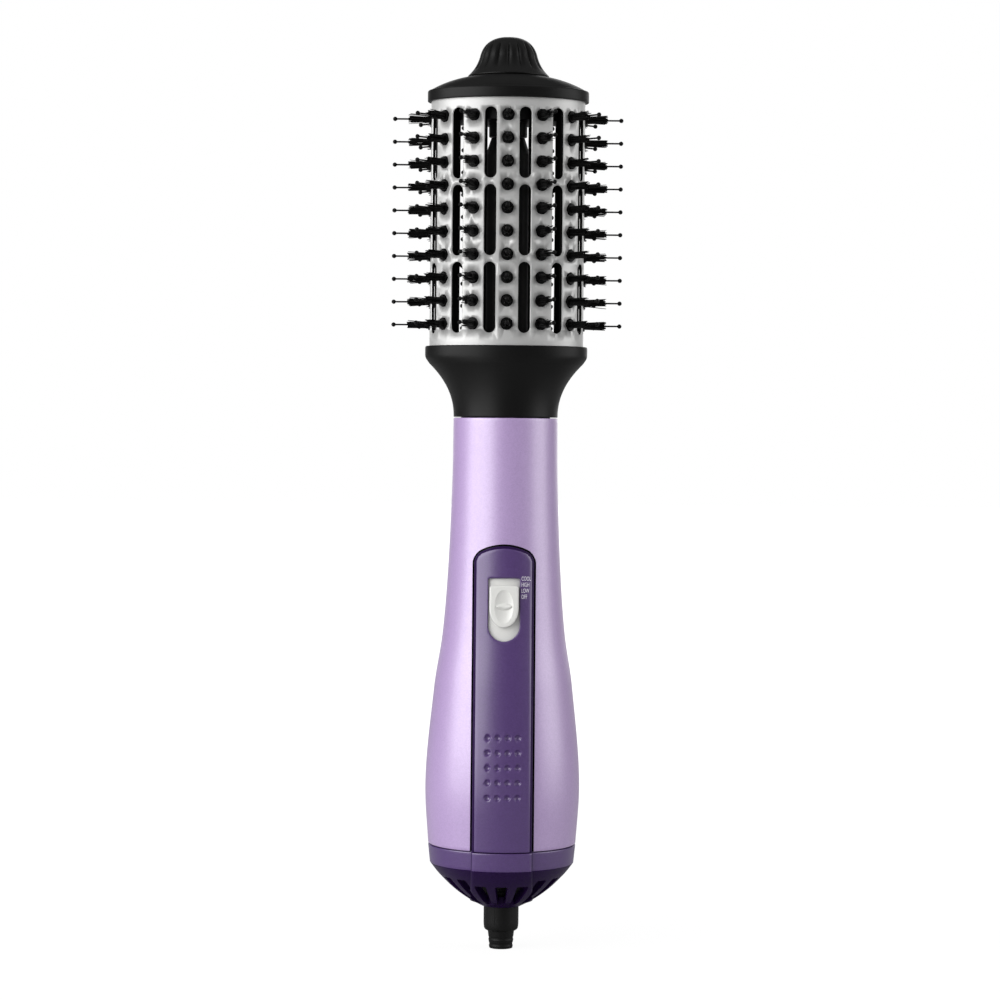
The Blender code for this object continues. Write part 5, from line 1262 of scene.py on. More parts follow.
# ---------------------------------------------------------------- cord outlet
@dataclass
class CordOutlet:
    """The turning rubber outlet for the cord, and its ribbed strain relief; in millimetres."""

    bore: float = 3.0
    foot_r: float = 3.85
    stub_r: float = 4.4
    stub: float = 6.0
    grooves: tuple[float, float] = (1.4, 3.4)
    groove: float = 0.14
    shank_top: float = 21.5
    socket_r: float = 5.8
    socket_bore: float = 4.7
    socket_top: float = 18.0
    nose: tuple[tuple[float, float, float], ...] = ((4.95, 6.0, 0.1), (5.6, 6.5, 0.5))
    flange: tuple[float, float] = (7.6, 19.6)
    bead_r: float = 0.09
    bead_foot: float = 8.4

    def relief(self) -> bpy.types.Object:
        """Makes the tapered stub with its grooves."""
        corners = [(self.bore, 0.0, 0.2), (self.foot_r, 0.0, 0.25)]
        for z in self.grooves:
            r = self.foot_r + (self.stub_r - self.foot_r) * z / self.stub
            deep = r - self.groove
            corners += [(r, z - 0.5, 0.15), (deep, z - 0.25, 0.1), (deep, z + 0.25, 0.1)]
            corners.append((r, z + 0.5, 0.15))
        corners += [(self.stub_r, self.stub, 0.2), (self.stub_r, self.shank_top, 0.2)]
        corners += [(self.bore, self.shank_top, 0.1)]
        return turned("cord_stub", round_corners(corners), 64)

    def socket(self) -> bpy.types.Object:
        """Makes the sleeve round the stub, with the seam line of its mould down the front."""
        r, low, (wide, top) = self.socket_r, self.socket_top, self.flange
        corners = [(self.socket_bore, self.stub, 0.1), *self.nose, (r, 8.0, 0.8), (r, low, 0.3)]
        corners += [(wide, low, 0.2), (wide, top, 0.2), (self.socket_bore, top, 0.1)]
        sleeve = turned("cord_socket", round_corners(corners))
        for degrees in (-112, 68):
            angle = math.radians(degrees)
            ring = circle(self.bead_r, 8, (r * math.cos(angle), r * math.sin(angle)))
            bead = Skin().loft([[(x, y, z) for x, y in ring] for z in (self.bead_foot, low - 0.6)])
            carve(sleeve, bead.build("bead"), "UNION")
        return renamed(sleeve, "cord_socket")

    def build(self) -> None:
        """Makes and dresses both pieces."""
        dressed(self.relief(), BLACK_RUBBER, "cord_swivel", "strain_relief")
        dressed(self.socket(), BLACK_RUBBER, "cord_swivel", "swivel_socket")


# ---------------------------------------------------------------- collar
@dataclass
class Collar:
    """The flared black collar between handle and barrel; sizes in millimetres."""

    neck: float
    barrel: float
    foot_r: float = 17.2
    flare: tuple[float, float] = (8.2, 1.8)
    flare_power: float = 2.2
    flare_height: float = 17.6
    wall: float = 2.4
    rim: tuple[float, float] = (26.8, 19.2)
    rim_foot: float = 3.7
    recess: tuple[float, float] = (25.7, 18.1)
    recess_depth: float = 3.3
    throat: tuple[float, float] = (22.5, 16.0)
    throat_depth: float = 5.4
    spigot: tuple[float, float] = (14.7, 13.3)
    spigot_depth: float = 10.0

    def half_widths(self, t: float) -> tuple[float, float]:
        """Gives half width and half depth at a share of the flare's height."""
        rise = t**self.flare_power
        return self.foot_r + self.flare[0] * rise, self.foot_r + self.flare[1] * rise

    def build(self) -> None:
        """Makes and dresses the collar."""
        top, low = self.barrel, self.neck
        corners: list[Corner] = []
        for t in spread(0, 1, 40):
            a, b = self.half_widths(t)
            corners.append((a, b, low + self.flare_height * t, 0.25 if t == 0 else 0.0))
        rim_a, rim_b = self.rim
        foot = top - self.rim_foot
        corners += [(rim_a, rim_b, foot, 0.9), (rim_a, rim_b, top, 0.7)]
        deep_a, deep_b = self.recess
        corners += [(deep_a, deep_b, top, 0.2), (deep_a, deep_b, top - self.recess_depth, 0.0)]
        inner_low, inner_top = low + 2.0, top - self.throat_depth
        wide, deep = self.throat
        corners.append((wide + 0.1, deep, top - self.recess_depth, 0.0))
        corners.append((wide - 0.1, deep, inner_top, 0.0))
        for t in spread(0.95, 0.1, 8):
            a, b = self.half_widths(t)
            z = inner_low + (inner_top - inner_low) * t
            corners.append((a - self.wall, b - self.wall, z, 0.0))
        (outer_r, bore), foot = self.spigot, low - self.spigot_depth
        pipe = [(bore, inner_low), (bore, foot), (outer_r, foot), (outer_r, low)]
        corners += [(r, r, z, 0.0) for r, z in pipe]
        dressed(turned("flared_collar", corners, 128), BLACK_NYLON, "handle", "neck_collar")


# ---------------------------------------------------------------- barrel
@dataclass
class Barrel:
    """The oval perforated aluminium barrel; sizes in millimetres.

    Its skin is laid out flat, with the running length round the oval from the front towards +X
    across and the height up, and then rolled.
    """

    foot: float
    top: float
    first_row: float
    first_slot: float
    a: float = 25.4
    b: float = 17.8
    wall: float = 0.9
    strips: int = 12
    rows: int = 10
    row_pitch: float = 7.53
    hole_r: float = 2.05
    slot_width: float = 4.0
    slot_length: float = 23.1
    tiers: int = 3
    tier_pitch: float = 25.1
    edge: float = 0.22
    around: int = 108
    upward: int = 20
    clear: float = 0.55

    def __post_init__(self) -> None:
        """Tables the running length round the oval."""
        turns = np.linspace(-math.pi / 2, 1.5 * math.pi, 7201)
        steps = np.hypot(np.diff(self.a * np.cos(turns)), np.diff(self.b * np.sin(turns)))
        self.turns, self.lengths = turns, np.concatenate(([0.0], np.cumsum(steps)))
        self.perimeter = float(self.lengths[-1])

    def frame_at(self, s: float) -> tuple[Vector, Vector]:
        """Gives the point of the oval and its outward normal at a running length."""
        t = float(np.interp(s % self.perimeter, self.lengths, self.turns))
        normal = Vector((math.cos(t) / self.a, math.sin(t) / self.b, 0.0)).normalized()
        return Vector((self.a * math.cos(t), self.b * math.sin(t), 0.0)), normal

    def rolled(self, s: float, z: float, depth: float = 0.0) -> Vector:
        """Gives the point of the barrel at a running length, height and depth."""
        at, normal = self.frame_at(s)
        return at - normal * depth + Vector((0.0, 0.0, z))

    def strip_pitch(self) -> float:
        """Gives the running length from strip to strip."""
        return self.perimeter / self.strips

    def openings(self, grow_by: float) -> list[list[tuple[float, float]]]:
        """Gives the flat outlines of all the holes and slots, grown by that much."""
        pitch, outlines = self.strip_pitch(), []
        for strip in range(self.strips):
            for row in range(self.rows):
                middle = (strip * pitch, self.first_row + row * self.row_pitch)
                outlines.append(circle(self.hole_r + grow_by, 24, middle))
            for tier in range(self.tiers):
                low = self.first_slot + tier * self.tier_pitch + self.slot_width / 2
                outlines.append(self.slot((strip + 0.5) * pitch, low, grow_by))
        return outlines

    def slot(self, middle: float, low: float, grow_by: float) -> list[tuple[float, float]]:
        """Gives the flat outline of the slot whose lower end is rounded about that point."""
        half, high = self.slot_width / 2 + grow_by, low + self.slot_length - self.slot_width
        outline = []
        for side, z, after in ((1, high, low), (-1, low, high)):
            for t in spread(0, math.pi, 10):
                outline.append((middle + side * half * math.cos(t), z + side * half * math.sin(t)))
            outline += [(middle - side * half, at) for at in spread(z, after, 6)[1:-1]]
        return outline

    def lengths_round(self) -> list[float]:
        """Gives running lengths once round, from the closing line between a hole and a slot."""
        start = -self.strip_pitch() / 4
        return spread(start, start + self.perimeter, self.around)

    def flat_skin(self, outlines: list[list[tuple[float, float]]]) -> tuple[list, list]:
        """Fills the flat sheet round its openings with triangles.

        Args:
            outlines: outlines of the openings, none of which crosses the sheet's closing line.

        Returns:
            Points as (running length, height), and triangles as point numbers.
        """
        lengths, heights = self.lengths_round(), spread(self.foot, self.top, self.upward)
        border = [(s, self.foot) for s in lengths[:-1]] + [(lengths[-1], z) for z in heights[:-1]]
        border += [(s, self.top) for s in lengths[:0:-1]]
        border += [(lengths[0], z) for z in heights[:0:-1]]
        points, edges = [], []
        for ring in [border, *outlines]:
            first = len(points)
            points += ring
            edges += [(first + i, first + (i + 1) % len(ring)) for i in range(len(ring))]
        inner = [(s, z) for s in lengths[1:-1] for z in heights[1:-1]]
        points += [(s, z) for s, z in inner if self.reach(s, z) > self.clear]
        corners, _, faces, *_ = delaunay_2d_cdt([Vector(p) for p in points], edges, [], 1, 1e-5)
        middles = [sum((corners[i] for i in face), Vector((0, 0))) / 3 for face in faces]
        kept = [face for face, at in zip(faces, middles, strict=True) if self.reach(*at) >= 0.0]
        return [tuple(c) for c in corners], kept

    def reach(self, s: float, z: float) -> float:
        """Gives the distance from a flat point to the nearest opening's edge, inside negative."""
        pitch = self.strip_pitch()
        off, above = s / pitch - round(s / pitch), z - self.first_row
        row = min(max(round(above / self.row_pitch), 0), self.rows - 1)
        hole = math.hypot(off * pitch, above - row * self.row_pitch) - self.hole_r
        above = z - self.first_slot - self.slot_length / 2
        tier = min(max(round(above / self.tier_pitch), 0), self.tiers - 1)
        straight = (self.slot_length - self.slot_width) / 2
        up = max(abs(above - tier * self.tier_pitch) - straight, 0.0)
        return min(hole, math.hypot((abs(off) - 0.5) * pitch, up) - self.slot_width / 2)

    def build(self) -> None:
        """Makes and dresses the barrel."""
        skins = [self.flat_skin(self.openings(grow_by)) for grow_by in (self.edge, 0.0)]
        made = self.two_skins(skins)
        dressed(made, SATIN_ALUMINIUM, "handle", "barrel")
        # Painted shade: the inner faces get near-black, so the openings read dark.
        deep = 1 - 0.75 * self.edge / self.b
        inside = [
            face.index for face in made.data.polygons
            if math.hypot(face.center.x / self.a, face.center.y / self.b) / MM < deep
        ]
        also_finished(made, BARREL_INSIDE_SHADE, inside)

    def two_skins(self, skins: list[tuple[list, list]]) -> bpy.types.Object:
        """Rolls the outer and inner skin and joins them round every opening.

        Args:
            skins: points and triangles of the outer and of the inner skin.

        Returns:
            The barrel.
        """
        body = bmesh.new()
        seen: dict[tuple, bmesh.types.BMVert] = {}

        def vertex(s: float, z: float, depth: float) -> bmesh.types.BMVert:
            """Gives the vertex at a place on the sheet, made once."""
            once_round = round(self.perimeter * 1e3)
            key = (round((s % self.perimeter) * 1e3) % once_round, round(z * 1e3), depth)
            if key not in seen:
                seen[key] = body.verts.new(self.rolled(s, z, depth) * MM)
            return seen[key]

        for (points, triangles), depth in zip(skins, (0.0, self.wall), strict=True):
            for triangle in triangles:
                corners = [vertex(*points[i], depth) for i in triangle]
                if len(set(corners)) == 3:
                    body.faces.new(corners if depth == 0.0 else corners[::-1])
        flared, true = self.openings(self.edge), self.openings(0.0)
        for wide, narrow in zip(flared, true, strict=True):
            levels = [(wide, 0.0), (narrow, self.edge), (narrow, self.wall)]
            rings = [[vertex(s, z, depth) for s, z in ring] for ring, depth in levels]
            for low, high in zip(rings, rings[1:], strict=False):
                for i in range(len(low)):
                    j = (i + 1) % len(low)
                    body.faces.new((low[i], low[j], high[j], high[i]))
        self.close_ends(body, vertex)
        loose = sum(1 for edge in body.edges if len(edge.link_faces) != 2)
        LOG.info("barrel: %d open edges", loose)
        mesh = bpy.data.meshes.new("satin_barrel")
        write_outwards(body, mesh)
        made = place("satin_barrel", mesh, 30.0)
        self.even_normals(mesh)
        return made

    def close_ends(self, body: bmesh.types.BMesh, vertex: Callable) -> None:
        """Joins both skins at the barrel's foot and top."""
        lengths = self.lengths_round()
        for z in (self.foot, self.top):
            for s, after in zip(lengths, lengths[1:], strict=False):
                corners = [vertex(s, z, 0.0), vertex(after, z, 0.0)]
                corners += [vertex(after, z, self.wall), vertex(s, z, self.wall)]
                body.faces.new(corners)

    def even_normals(self, mesh: bpy.types.Mesh) -> None:
        """Gives the outer skin the oval's own normals, so that it shines evenly."""
        normals = np.zeros((len(mesh.loops), 3))
        for face in mesh.polygons:
            middle = face.center / MM
            flat = Vector((middle.x / self.a**2, middle.y / self.b**2, 0.0))
            on_skin = abs(math.hypot(middle.x / self.a, middle.y / self.b) - 1) < 0.004
            if not on_skin or face.normal.dot(flat.normalized()) < 0.9:
                continue
            for loop in face.loop_indices:
                at = mesh.vertices[mesh.loops[loop].vertex_index].co / MM
                normals[loop] = Vector((at.x / self.a**2, at.y / self.b**2, 0.0)).normalized()
        mesh.normals_split_custom_set(normals.tolist())


# ---------------------------------------------------------------- bristles
@dataclass
class BristleStrips:
    """The twelve nylon strips whose tufts stand out through the barrel; in millimetres."""

    barrel: Barrel
    bar_width: float = 6.6
    bar_depth: tuple[float, float] = (-4.05, -1.65)
    bar_span: tuple[float, float] = (-2.5, 70.27)
    boss_r: float = 1.75
    boss_top: float = 0.4
    bundle_half: float = 0.9
    bundle_top: float = 7.6
    lean: float = 0.035
    stray: float = 0.055
    jog: float = 0.16
    ragged: float = 0.14
    bristle_r: float = 0.18
    bristles: int = 7
    pin_r: float = 0.3
    pin_top: float = 11.9
    ball_r: float = 0.75

    def tree(self) -> bpy.types.NodeTree:
        """Makes the tree that plants tufts and pins along a strip.

        The strip's mesh gives its bar; every row gets a boss, a square of ragged bristles
        that lean outwards, and a longer pin with a ball at its tip.
        """
        kinds = {"Bar": "Geometry", **dict.fromkeys(("Rows", "Bristles", "Seed"), "Int")}
        sizes = ("Row Pitch", "Boss Radius", "Boss Top", "Foot", "Bundle Half", "Bundle Top",
                 "Bristle Radius", "Lean", "Ragged", "Pin Radius", "Pin Top", "Ball Radius")
        kinds |= {**dict.fromkeys(sizes, "Float"), "Finish": "Material"}
        tree, given = geometry_tree("bristle_strip", kinds)
        value = given.outputs

        def math_of(kind: str, a: Any, b: Any) -> bpy.types.Node:
            """Adds one sum."""
            return add_node(tree, "ShaderNodeMath", {0: a, 1: b}, {"operation": kind})

        def standing(x: Any = 0.0, y: Any = 0.0, z: Any = 0.0) -> bpy.types.Node:
            """Adds a vector."""
            return add_node(tree, "ShaderNodeCombineXYZ", {"X": x, "Y": y, "Z": z})

        def moved(shape: Any, offset: Any) -> bpy.types.Node:
            """Moves a shape."""
            where = {"Geometry": shape, "Translation": offset}
            return add_node(tree, "GeometryNodeTransform", where)

        def planted(points: Any, shape: Any, **more: Any) -> bpy.types.Node:
            """Sets a shape at every point."""
            inputs = {"Points": points, "Instance": shape, **more}
            return add_node(tree, "GeometryNodeInstanceOnPoints", inputs)

        def joined(*shapes: Any) -> bpy.types.Node:
            """Joins shapes."""
            whole = add_node(tree, "GeometryNodeJoinGeometry")
            for shape in shapes:
                tree.links.new(shape, whole.inputs[0])
            return whole

        def post(radius: Any, top: Any, sides: int, taper: float = 1.0) -> bpy.types.Node:
            """Adds an upright bar from the foot to a height."""
            deep = math_of("SUBTRACT", top, value["Foot"])
            tip = math_of("MULTIPLY", radius, taper)
            inputs = {"Vertices": sides, "Radius Top": tip, "Radius Bottom": radius, "Depth": deep}
            bar = add_node(tree, "GeometryNodeMeshCone", inputs)
            return moved(bar.outputs["Mesh"], standing(z=value["Foot"]))

        line = {"Count": value["Rows"], "Offset": standing(y=value["Row Pitch"])}
        rows = add_node(tree, "GeometryNodeMeshLine", line)
        side, each_way = math_of("MULTIPLY", value["Bundle Half"], 2.0), value["Bristles"]
        grid = {"Size X": side, "Size Y": side, "Vertices X": each_way, "Vertices Y": each_way}
        square = add_node(tree, "GeometryNodeMeshGrid", grid)
        position = add_node(tree, "GeometryNodeInputPosition")
        seat = add_node(tree, "GeometryNodeCaptureAttribute", {"Geometry": square.outputs["Mesh"]})
        seat.capture_items.new("VECTOR", "Seat")
        tree.links.new(position.outputs[0], seat.inputs["Seat"])
        seats = add_node(tree, "GeometryNodeRealizeInstances", {"Geometry": planted(rows, seat)})
        own = add_node(tree, "GeometryNodeInputIndex")

        def chance(low: Any, high: Any, kind: str, shift: int) -> bpy.types.NodeSocket:
            """Adds a random value for each bristle."""
            seed = math_of("ADD", value["Seed"], float(shift))
            first = {"FLOAT_VECTOR": 0, "FLOAT": 2}[kind]
            inputs = {"ID": own, "Seed": seed, first: low, first + 1: high}
            node = add_node(tree, "FunctionNodeRandomValue", inputs, {"data_type": kind})
            return node.outputs[first // 2]

        jog = self.jog * MM
        offset = chance((-jog, -jog, 0), (jog, jog, 0), "FLOAT_VECTOR", 0)
        shaken = add_node(tree, "GeometryNodeSetPosition", {"Geometry": seats, "Offset": offset})
        parts = add_node(tree, "ShaderNodeSeparateXYZ", {0: seat.outputs["Seat"]})
        lean = math_of("DIVIDE", value["Lean"], value["Bundle Half"])
        about_x = math_of("MULTIPLY", math_of("MULTIPLY", parts.outputs["Y"], lean), -1.0)
        about_y = math_of("MULTIPLY", parts.outputs["X"], lean)
        stray, spin = self.stray, 3.0
        wild = chance((-stray, -stray, 0.0), (stray, stray, spin), "FLOAT_VECTOR", 1)
        both = {0: standing(x=about_x, y=about_y), 1: wild}
        turn = add_node(tree, "ShaderNodeVectorMath", both, {"operation": "ADD"})
        tall = chance(math_of("SUBTRACT", 1.0, value["Ragged"]), 1.0, "FLOAT", 2)
        bristle = post(value["Bristle Radius"], value["Bundle Top"], 4, 0.6)
        rotation = add_node(tree, "FunctionNodeEulerToRotation", {0: turn})
        bundle = planted(shaken, bristle, Rotation=rotation, Scale=standing(1.0, 1.0, tall))
        sphere = {"Radius": value["Ball Radius"], "Subdivisions": 2}
        ball = add_node(tree, "GeometryNodeMeshIcoSphere", sphere)
        tip = moved(ball.outputs["Mesh"], standing(z=value["Pin Top"]))
        boss = post(value["Boss Radius"], value["Boss Top"], 20)
        pin = post(value["Pin Radius"], value["Pin Top"], 6)
        pins = planted(rows, joined(boss.outputs[0], pin.outputs[0], tip.outputs[0]))
        whole = joined(bundle.outputs[0], pins.outputs[0], value["Bar"])
        end_tree(tree, whole, value["Finish"])
        return tree

    def bar(self) -> bpy.types.Mesh:
        """Makes a strip's flat bar."""
        half, (low, high) = self.bar_width / 2, self.bar_depth
        corners = [(-half, low, 0.2), (half, low, 0.2), (half, high, 0.3), (-half, high, 0.3)]
        ring = rounded(corners, 3)
        made = Skin().loft([[(p.x, y, p.y) for p in ring] for y in self.bar_span]).build("bar")
        mesh = made.data
        bpy.data.objects.remove(made)
        return mesh

    def build(self) -> None:
        """Makes, places and dresses all the strips."""
        tree = self.tree()
        in_mm = {
            "Row Pitch": self.barrel.row_pitch,
            "Boss Radius": self.boss_r,
            "Boss Top": self.boss_top,
            "Foot": self.bar_depth[1] - 0.2,
            "Bundle Half": self.bundle_half,
            "Bundle Top": self.bundle_top,
            "Bristle Radius": self.bristle_r,
            "Pin Radius": self.pin_r,
            "Pin Top": self.pin_top,
            "Ball Radius": self.ball_r,
        }
        sizes = {name: size * MM for name, size in in_mm.items()}
        sizes |= {"Rows": self.barrel.rows, "Bristles": self.bristles, "Lean": self.lean}
        sizes |= {"Ragged": self.ragged, "Finish": BRISTLE_NYLON.material()}
        for i in range(self.barrel.strips):
            name = f"bristle_strip_{i + 1:02d}"
            made = grow(name, self.bar(), tree, {**sizes, "Seed": 11 * i + 3})
            at, out = self.barrel.frame_at(i * self.barrel.strip_pitch())
            up = Vector((0, 0, 1))
            across = up.cross(out)
            turn = Matrix((across, up, out)).transposed().to_4x4()
            at.z = self.barrel.first_row
            made.data.transform(Matrix.Translation(at * MM) @ turn)
            dressed(renamed(made, name), BRISTLE_NYLON, "handle", f"bristle_rail_{i + 1:02d}")


# ---------------------------------------------------------------- core and tip
@dataclass
class CoreAndTip:
    """The air core inside the barrel, the oval tip cap and the cool-touch knob; millimetres."""

    core_foot: float
    cap: float
    knob: float
    top: float
    core_r: float = 7.3
    core_cone: tuple[float, float, float] = (262.5, 268.0, 5.5)
    stem_r: float = 6.3
    plate: tuple[float, float] = (21.05, 13.45)
    plate_span: tuple[float, float] = (-6.73, -2.73)
    plug: tuple[float, float] = (24.2, 16.6)
    plug_inset: float = 1.6
    rim: tuple[float, float] = (26.6, 19.0)
    rim_height: float = 3.6
    shoulder_r: float = 13.9
    shoulder_bulge: float = 0.6
    knob_r: float = 13.4
    knob_skirt: float = 0.4
    waist: tuple[float, float] = (9.5, 7.3)
    flare_hollow: float = 0.55
    crown_r: float = 3.2
    crown_bulge: float = 1.35
    flutes: int = 16
    flute_depth: float = 0.75

    def core(self) -> bpy.types.Object:
        """Makes the core with its cone."""
        shoulder, tip, tip_r = self.core_cone
        corners = [(0.0, self.core_foot, 0.0), (self.core_r, self.core_foot, 0.3)]
        corners += [(self.core_r, shoulder, 0.4), (tip_r, tip, 0.3), (0.0, tip, 0.0)]
        return turned("core_tube", round_corners(corners), 64)

    def tip_cap(self) -> bpy.types.Object:
        """Makes the cap: stem, inner plate, plug, rim and convex shoulder."""
        cap, stem = self.cap, self.stem_r
        foot = self.core_cone[1] + GAP
        low, high = cap + self.plate_span[0], cap + self.plate_span[1]
        corners: list[Corner] = [(0.0, 0.0, foot, 0.0), (stem, stem, foot, 0.3)]
        corners += [(stem, stem, low, 0.0), (*self.plate, low, 0.4), (*self.plate, high, 0.0)]
        plug_a, plug_b = (half - self.plug_inset for half in self.plug)
        corners += [(plug_a, plug_b, high, 0.0), (plug_a, plug_b, cap, 0.0)]
        rim_a, rim_b = self.rim
        corners += [(rim_a, rim_b, cap, 0.35), (rim_a, rim_b, cap + self.rim_height, 0.7)]
        start, end = (rim_a - 0.8, cap + self.rim_height + 0.1), (self.shoulder_r, self.knob)
        taper = (rim_b - 0.8 - self.shoulder_r) / (start[0] - self.shoulder_r)
        for a, z in bowed(start, end, self.shoulder_bulge, 24):
            corners.append((a, self.shoulder_r + taper * (a - self.shoulder_r), z, 0.0))
        r, floor = self.shoulder_r - 0.5, self.knob - 0.5
        corners += [(r, r, self.knob, 0.1), (r - 0.4, r - 0.4, floor, 0.0), (0.0, 0.0, floor, 0.0)]
        return turned("oval_tip_cap", corners, 128)

    def tip_knob(self) -> bpy.types.Object:
        """Makes the bell-shaped knob with its fluted flank."""
        foot, r = self.knob + GAP, self.knob_r
        outline = [(0.0, foot - 0.6), (r - 1.0, foot - 0.6), (r - 0.8, foot), (r - 0.12, foot)]
        outline += [(r, foot + 0.12), (r - 0.02, foot + self.knob_skirt)]
        waist = (self.waist[0], self.knob + self.waist[1])
        outline += bowed((r - 0.1, foot + self.knob_skirt + 0.1), waist, -self.flare_hollow, 16)
        outline += bowed(waist, (self.crown_r, self.top), self.crown_bulge, 30)[1:]
        outline.append((0.0, self.top))
        return Skin().loft([self.fluted(r, z) for r, z in outline]).build("tip_knob_bell", 50.0)

    def fluted(self, r: float, z: float) -> list[Vector]:
        """Gives a ring of the knob with its flutes sunk where the flank is steep."""
        if r < 1e-6:
            return [Vector((0, 0, z))]
        low = smooth_step(self.knob + 1.8, self.knob + 3.6, z)
        high = 1 - smooth_step(self.top - 3.4, self.top - 1.4, z)
        points = []
        for t in spread(0, math.tau, 16 * self.flutes)[:-1]:
            wave = (1 - abs(math.sin(t * self.flutes / 2))) ** 1.6
            out = r - self.flute_depth * low * high * wave
            points.append(Vector((out * math.cos(t), out * math.sin(t), z)))
        return points

    def build(self) -> None:
        """Makes and dresses the core, the cap and the knob."""
        dressed(self.core(), BLACK_NYLON, "handle", "air_core")
        dressed(self.tip_cap(), BLACK_NYLON, "handle", "tip_cap")
        dressed(self.tip_knob(), BLACK_NYLON, "handle", "tip_knob")


# ---------------------------------------------------------------- inner works
@dataclass
class InnerWorks:
    """Every CAD node that keeps its own shape, with the finish of each."""

    def finishes(self) -> dict[Finish, tuple[str, ...]]:
        """Gives the nodes that each finish goes on."""
        return {
            BLACK_NYLON: ("switch_body", "fan_duct", "impeller", "core_spider", "intake_screen",
                          "motor_end_bell", "swivel_rotor"),
            ZINC_STEEL: ("motor_can", "motor_shaft", "tip_screw", "thermostat"),
            BRASS: ("switch_lever", "slip_ring_inner", "slip_ring_outer", "slip_contact_inner",
                    "slip_contact_outer"),
            MICA: ("heater_mica_wide", "heater_mica_deep", "heater_sleeve"),
            NICHROME: ("heater_coil",),
            CERAMIC: ("heater_base", "thermal_fuse"),
            LAMINATE: ("rectifier_board",),
        }

    def build(self) -> None:
        """Dresses the nodes."""
        for finish, nodes in self.finishes().items():
            for name in nodes:
                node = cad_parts[name]
                if not node.material_slots:
                    node.data.materials.append(None)
                for material_slot in node.material_slots:
                    material_slot.material = finish.material()
                LOG.info("%s: %s", name, finish.name)


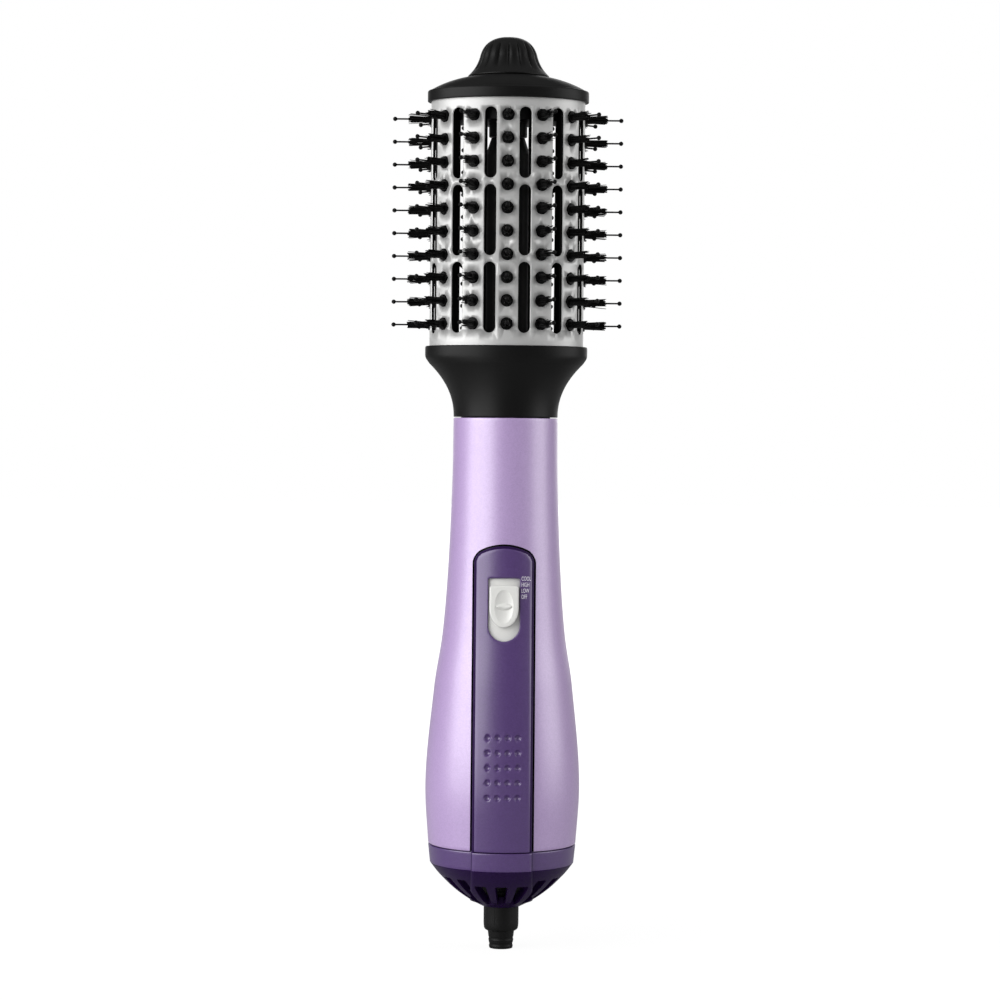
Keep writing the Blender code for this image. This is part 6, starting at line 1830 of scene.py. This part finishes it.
# ---------------------------------------------------------------- studio
@dataclass
class Studio:
    """Pale floor, soft boxes, pale surroundings and the camera; sizes in metres."""

    distance: float = 0.965
    camera_z: float = 0.1708
    aim: tuple[float, float] = (-0.0016, 0.1486)
    lens: float = 105.0
    roll: float = 0.52
    key_power: float = 17.0
    fill_power: float = 5.8
    rear_power: float = 2.0
    plain_level: float = 0.5
    gloss: tuple[tuple[float, float], ...] = (
        (-1.0, 0.13), (-0.7, 0.3), (-0.2, 0.6), (0.1, 0.6), (0.35, 0.25), (0.8, 0.12),
        (0.94, 1.0),
    )

    def floor(self) -> None:
        """Makes the floor, which shows white but for a faint shadow."""
        side = 6.0
        mesh = bpy.data.meshes.new("floor")
        corners = [(-side, -side, 0), (side, -side, 0), (side, side, 0), (-side, side, 0)]
        mesh.from_pydata(corners, [], [(0, 1, 2, 3)])
        floor = place("floor", mesh)
        material = bpy.data.materials.new("painted_floor")
        material.use_nodes = True
        tree = material.node_tree
        tree.nodes.clear()
        seen = add_node(tree, "ShaderNodeLightPath").outputs["Is Camera Ray"]
        paint = add_node(tree, "ShaderNodeBsdfDiffuse", {"Color": linear("#b4b4b4")})
        glow = add_node(tree, "ShaderNodeEmission", {"Color": (1, 1, 1, 1), "Strength": 1.19})
        place_on = add_node(tree, "ShaderNodeTexCoord").outputs["Object"]
        reach = add_node(tree, "ShaderNodeVectorMath", {0: place_on}, {"operation": "LENGTH"})
        near, far = {"From Min": 0.1, "To Min": 0.78}, {"From Max": 0.7, "To Max": 1.0}
        inputs = {"Value": reach.outputs["Value"], **near, **far}
        fade = add_node(tree, "ShaderNodeMapRange", inputs)
        share = add_node(tree, "ShaderNodeMath", {0: seen, 1: fade}, {"operation": "MULTIPLY"})
        mixed = add_node(tree, "ShaderNodeMixShader", {0: share, 1: paint, 2: glow})
        add_node(tree, "ShaderNodeOutputMaterial", {"Surface": mixed})
        mesh.materials.append(material)

    def soft_box(
        self, name: str, at: Sequence[float], size: tuple[float, float], power: float
    ) -> None:
        """Hangs one soft box that faces the brush.

        Args:
            name: its name.
            at: its place.
            size: width and height.
            power: its power in watts.
        """
        light = bpy.data.lights.new(name, "AREA")
        light.shape, light.size, light.size_y, light.energy = "RECTANGLE", *size, power
        lamp = bpy.data.objects.new(name, light)
        lamp.location = at
        aim = Vector((0, 0, self.aim[1])) - Vector(at)
        lamp.rotation_euler = aim.to_track_quat("-Z", "Y").to_euler()
        lamp.visible_camera = False
        bpy.context.scene.collection.objects.link(lamp)

    def world(self) -> None:
        """Surrounds the brush with white that is dimmer in front, where the room is."""
        world = bpy.data.worlds.new("studio")
        world.use_nodes = True
        tree = world.node_tree
        tree.nodes.clear()
        path = add_node(tree, "ShaderNodeLightPath").outputs
        rays = {0: path["Is Camera Ray"], 1: path["Is Transmission Ray"]}
        clear = add_node(tree, "ShaderNodeMath", rays, {"operation": "MAXIMUM"})
        direction = add_node(tree, "ShaderNodeTexCoord").outputs["Generated"]
        parts = add_node(tree, "ShaderNodeSeparateXYZ", {0: direction})
        reach = {"Value": parts.outputs["Y"], "From Min": -1.0, "From Max": 1.0}
        depth = add_node(tree, "ShaderNodeMapRange", reach)
        walls = add_node(tree, "ShaderNodeValToRGB", {"Fac": depth})
        stops = walls.color_ramp.elements
        while len(stops) < len(self.gloss):
            stops.new(0.5)
        for stop, (reach, level) in zip(stops, self.gloss, strict=True):
            stop.position, stop.color = (reach + 1) / 2, (level, level, level, 1.0)
        kind = {"data_type": "FLOAT"}
        inputs = {0: path["Is Glossy Ray"], 2: self.plain_level, 3: walls}
        gloss = add_node(tree, "ShaderNodeMix", inputs, kind)
        level = add_node(tree, "ShaderNodeMix", {0: clear, 2: gloss.outputs[0], 3: 1.0}, kind)
        shown = {"Color": (1, 1, 1, 1), "Strength": level.outputs[0]}
        light = add_node(tree, "ShaderNodeBackground", shown)
        add_node(tree, "ShaderNodeOutputWorld", {"Surface": light})
        bpy.context.scene.world = world

    def camera(self) -> None:
        """Sets the camera level with the handle, in front of the brush."""
        lens = bpy.data.cameras.new("camera")
        lens.lens, lens.sensor_width = self.lens, 36.0
        lens.clip_start, lens.clip_end = 0.05, 20.0
        camera = bpy.data.objects.new("camera", lens)
        camera.location = (self.aim[0], -self.distance, self.camera_z)
        aim = Vector((self.aim[0], 0, self.aim[1])) - camera.location
        roll = Matrix.Rotation(math.radians(self.roll), 3, "Z")
        camera.rotation_euler = (aim.to_track_quat("-Z", "Y").to_matrix() @ roll).to_euler()
        bpy.context.scene.collection.objects.link(camera)
        bpy.context.scene.camera = camera

    def build(self) -> None:
        """Makes the whole studio."""
        self.camera()
        self.floor()
        self.world()
        self.soft_box("key", (-0.93, -0.64, 0.42), (1.4, 1.1), self.key_power)
        self.soft_box("fill", (1.13, -0.18, 0.35), (0.8, 1.1), self.fill_power)
        self.soft_box("rear", (0.5, 1.2, 0.6), (1.0, 1.0), self.rear_power)
        bpy.context.scene.view_settings.view_transform = "Standard"


# ---------------------------------------------------------------- the brush
def span(node: str) -> tuple[float, float]:
    """Gives the heights of a CAD node's foot and top, in millimetres."""
    low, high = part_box(node)
    return low.z / MM, high.z / MM


def main() -> None:
    """Builds every piece in order, from the handle's foot to the tip."""
    logging.basicConfig(level=logging.INFO, format="%(message)s")
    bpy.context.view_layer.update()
    seam, neck = span("housing_front")[0] - GAP, span("housing_front")[1] + GAP
    collar_top = span("neck_collar")[1]
    screws = tuple(sum(span(f"housing_screw_{end}")) / 2 for end in ("lower", "upper"))
    handle = Handle(seam=seam, neck=neck, screw_heights=screws)
    panel = Panel(handle=handle, top=span("control_panel")[1])
    barrel = Barrel(
        foot=span("barrel")[0],
        top=span("barrel")[1],
        first_row=span("bristle_rail_01")[0] - BristleStrips.bar_span[0],
        first_slot=collar_top + SLOT_RISE,
    )
    tip = CoreAndTip(
        core_foot=span("air_core")[0],
        cap=collar_top + CAP_RISE,
        knob=collar_top + KNOB_RISE,
        top=span("tip_knob")[1],
    )
    handle.build(panel)
    sections = [
        panel,
        SlideSwitch(panel),
        TailCap(panel, tail=span("tail_cap")[0], seam=seam),
        CordOutlet(),
        Collar(neck=neck, barrel=collar_top),
        barrel,
        BristleStrips(barrel),
        tip,
        InnerWorks(),
        Studio(),
    ]
    for section in sections:
        LOG.info("building %s", type(section).__name__)
        section.build()


if __name__ == "__main__":
    main()
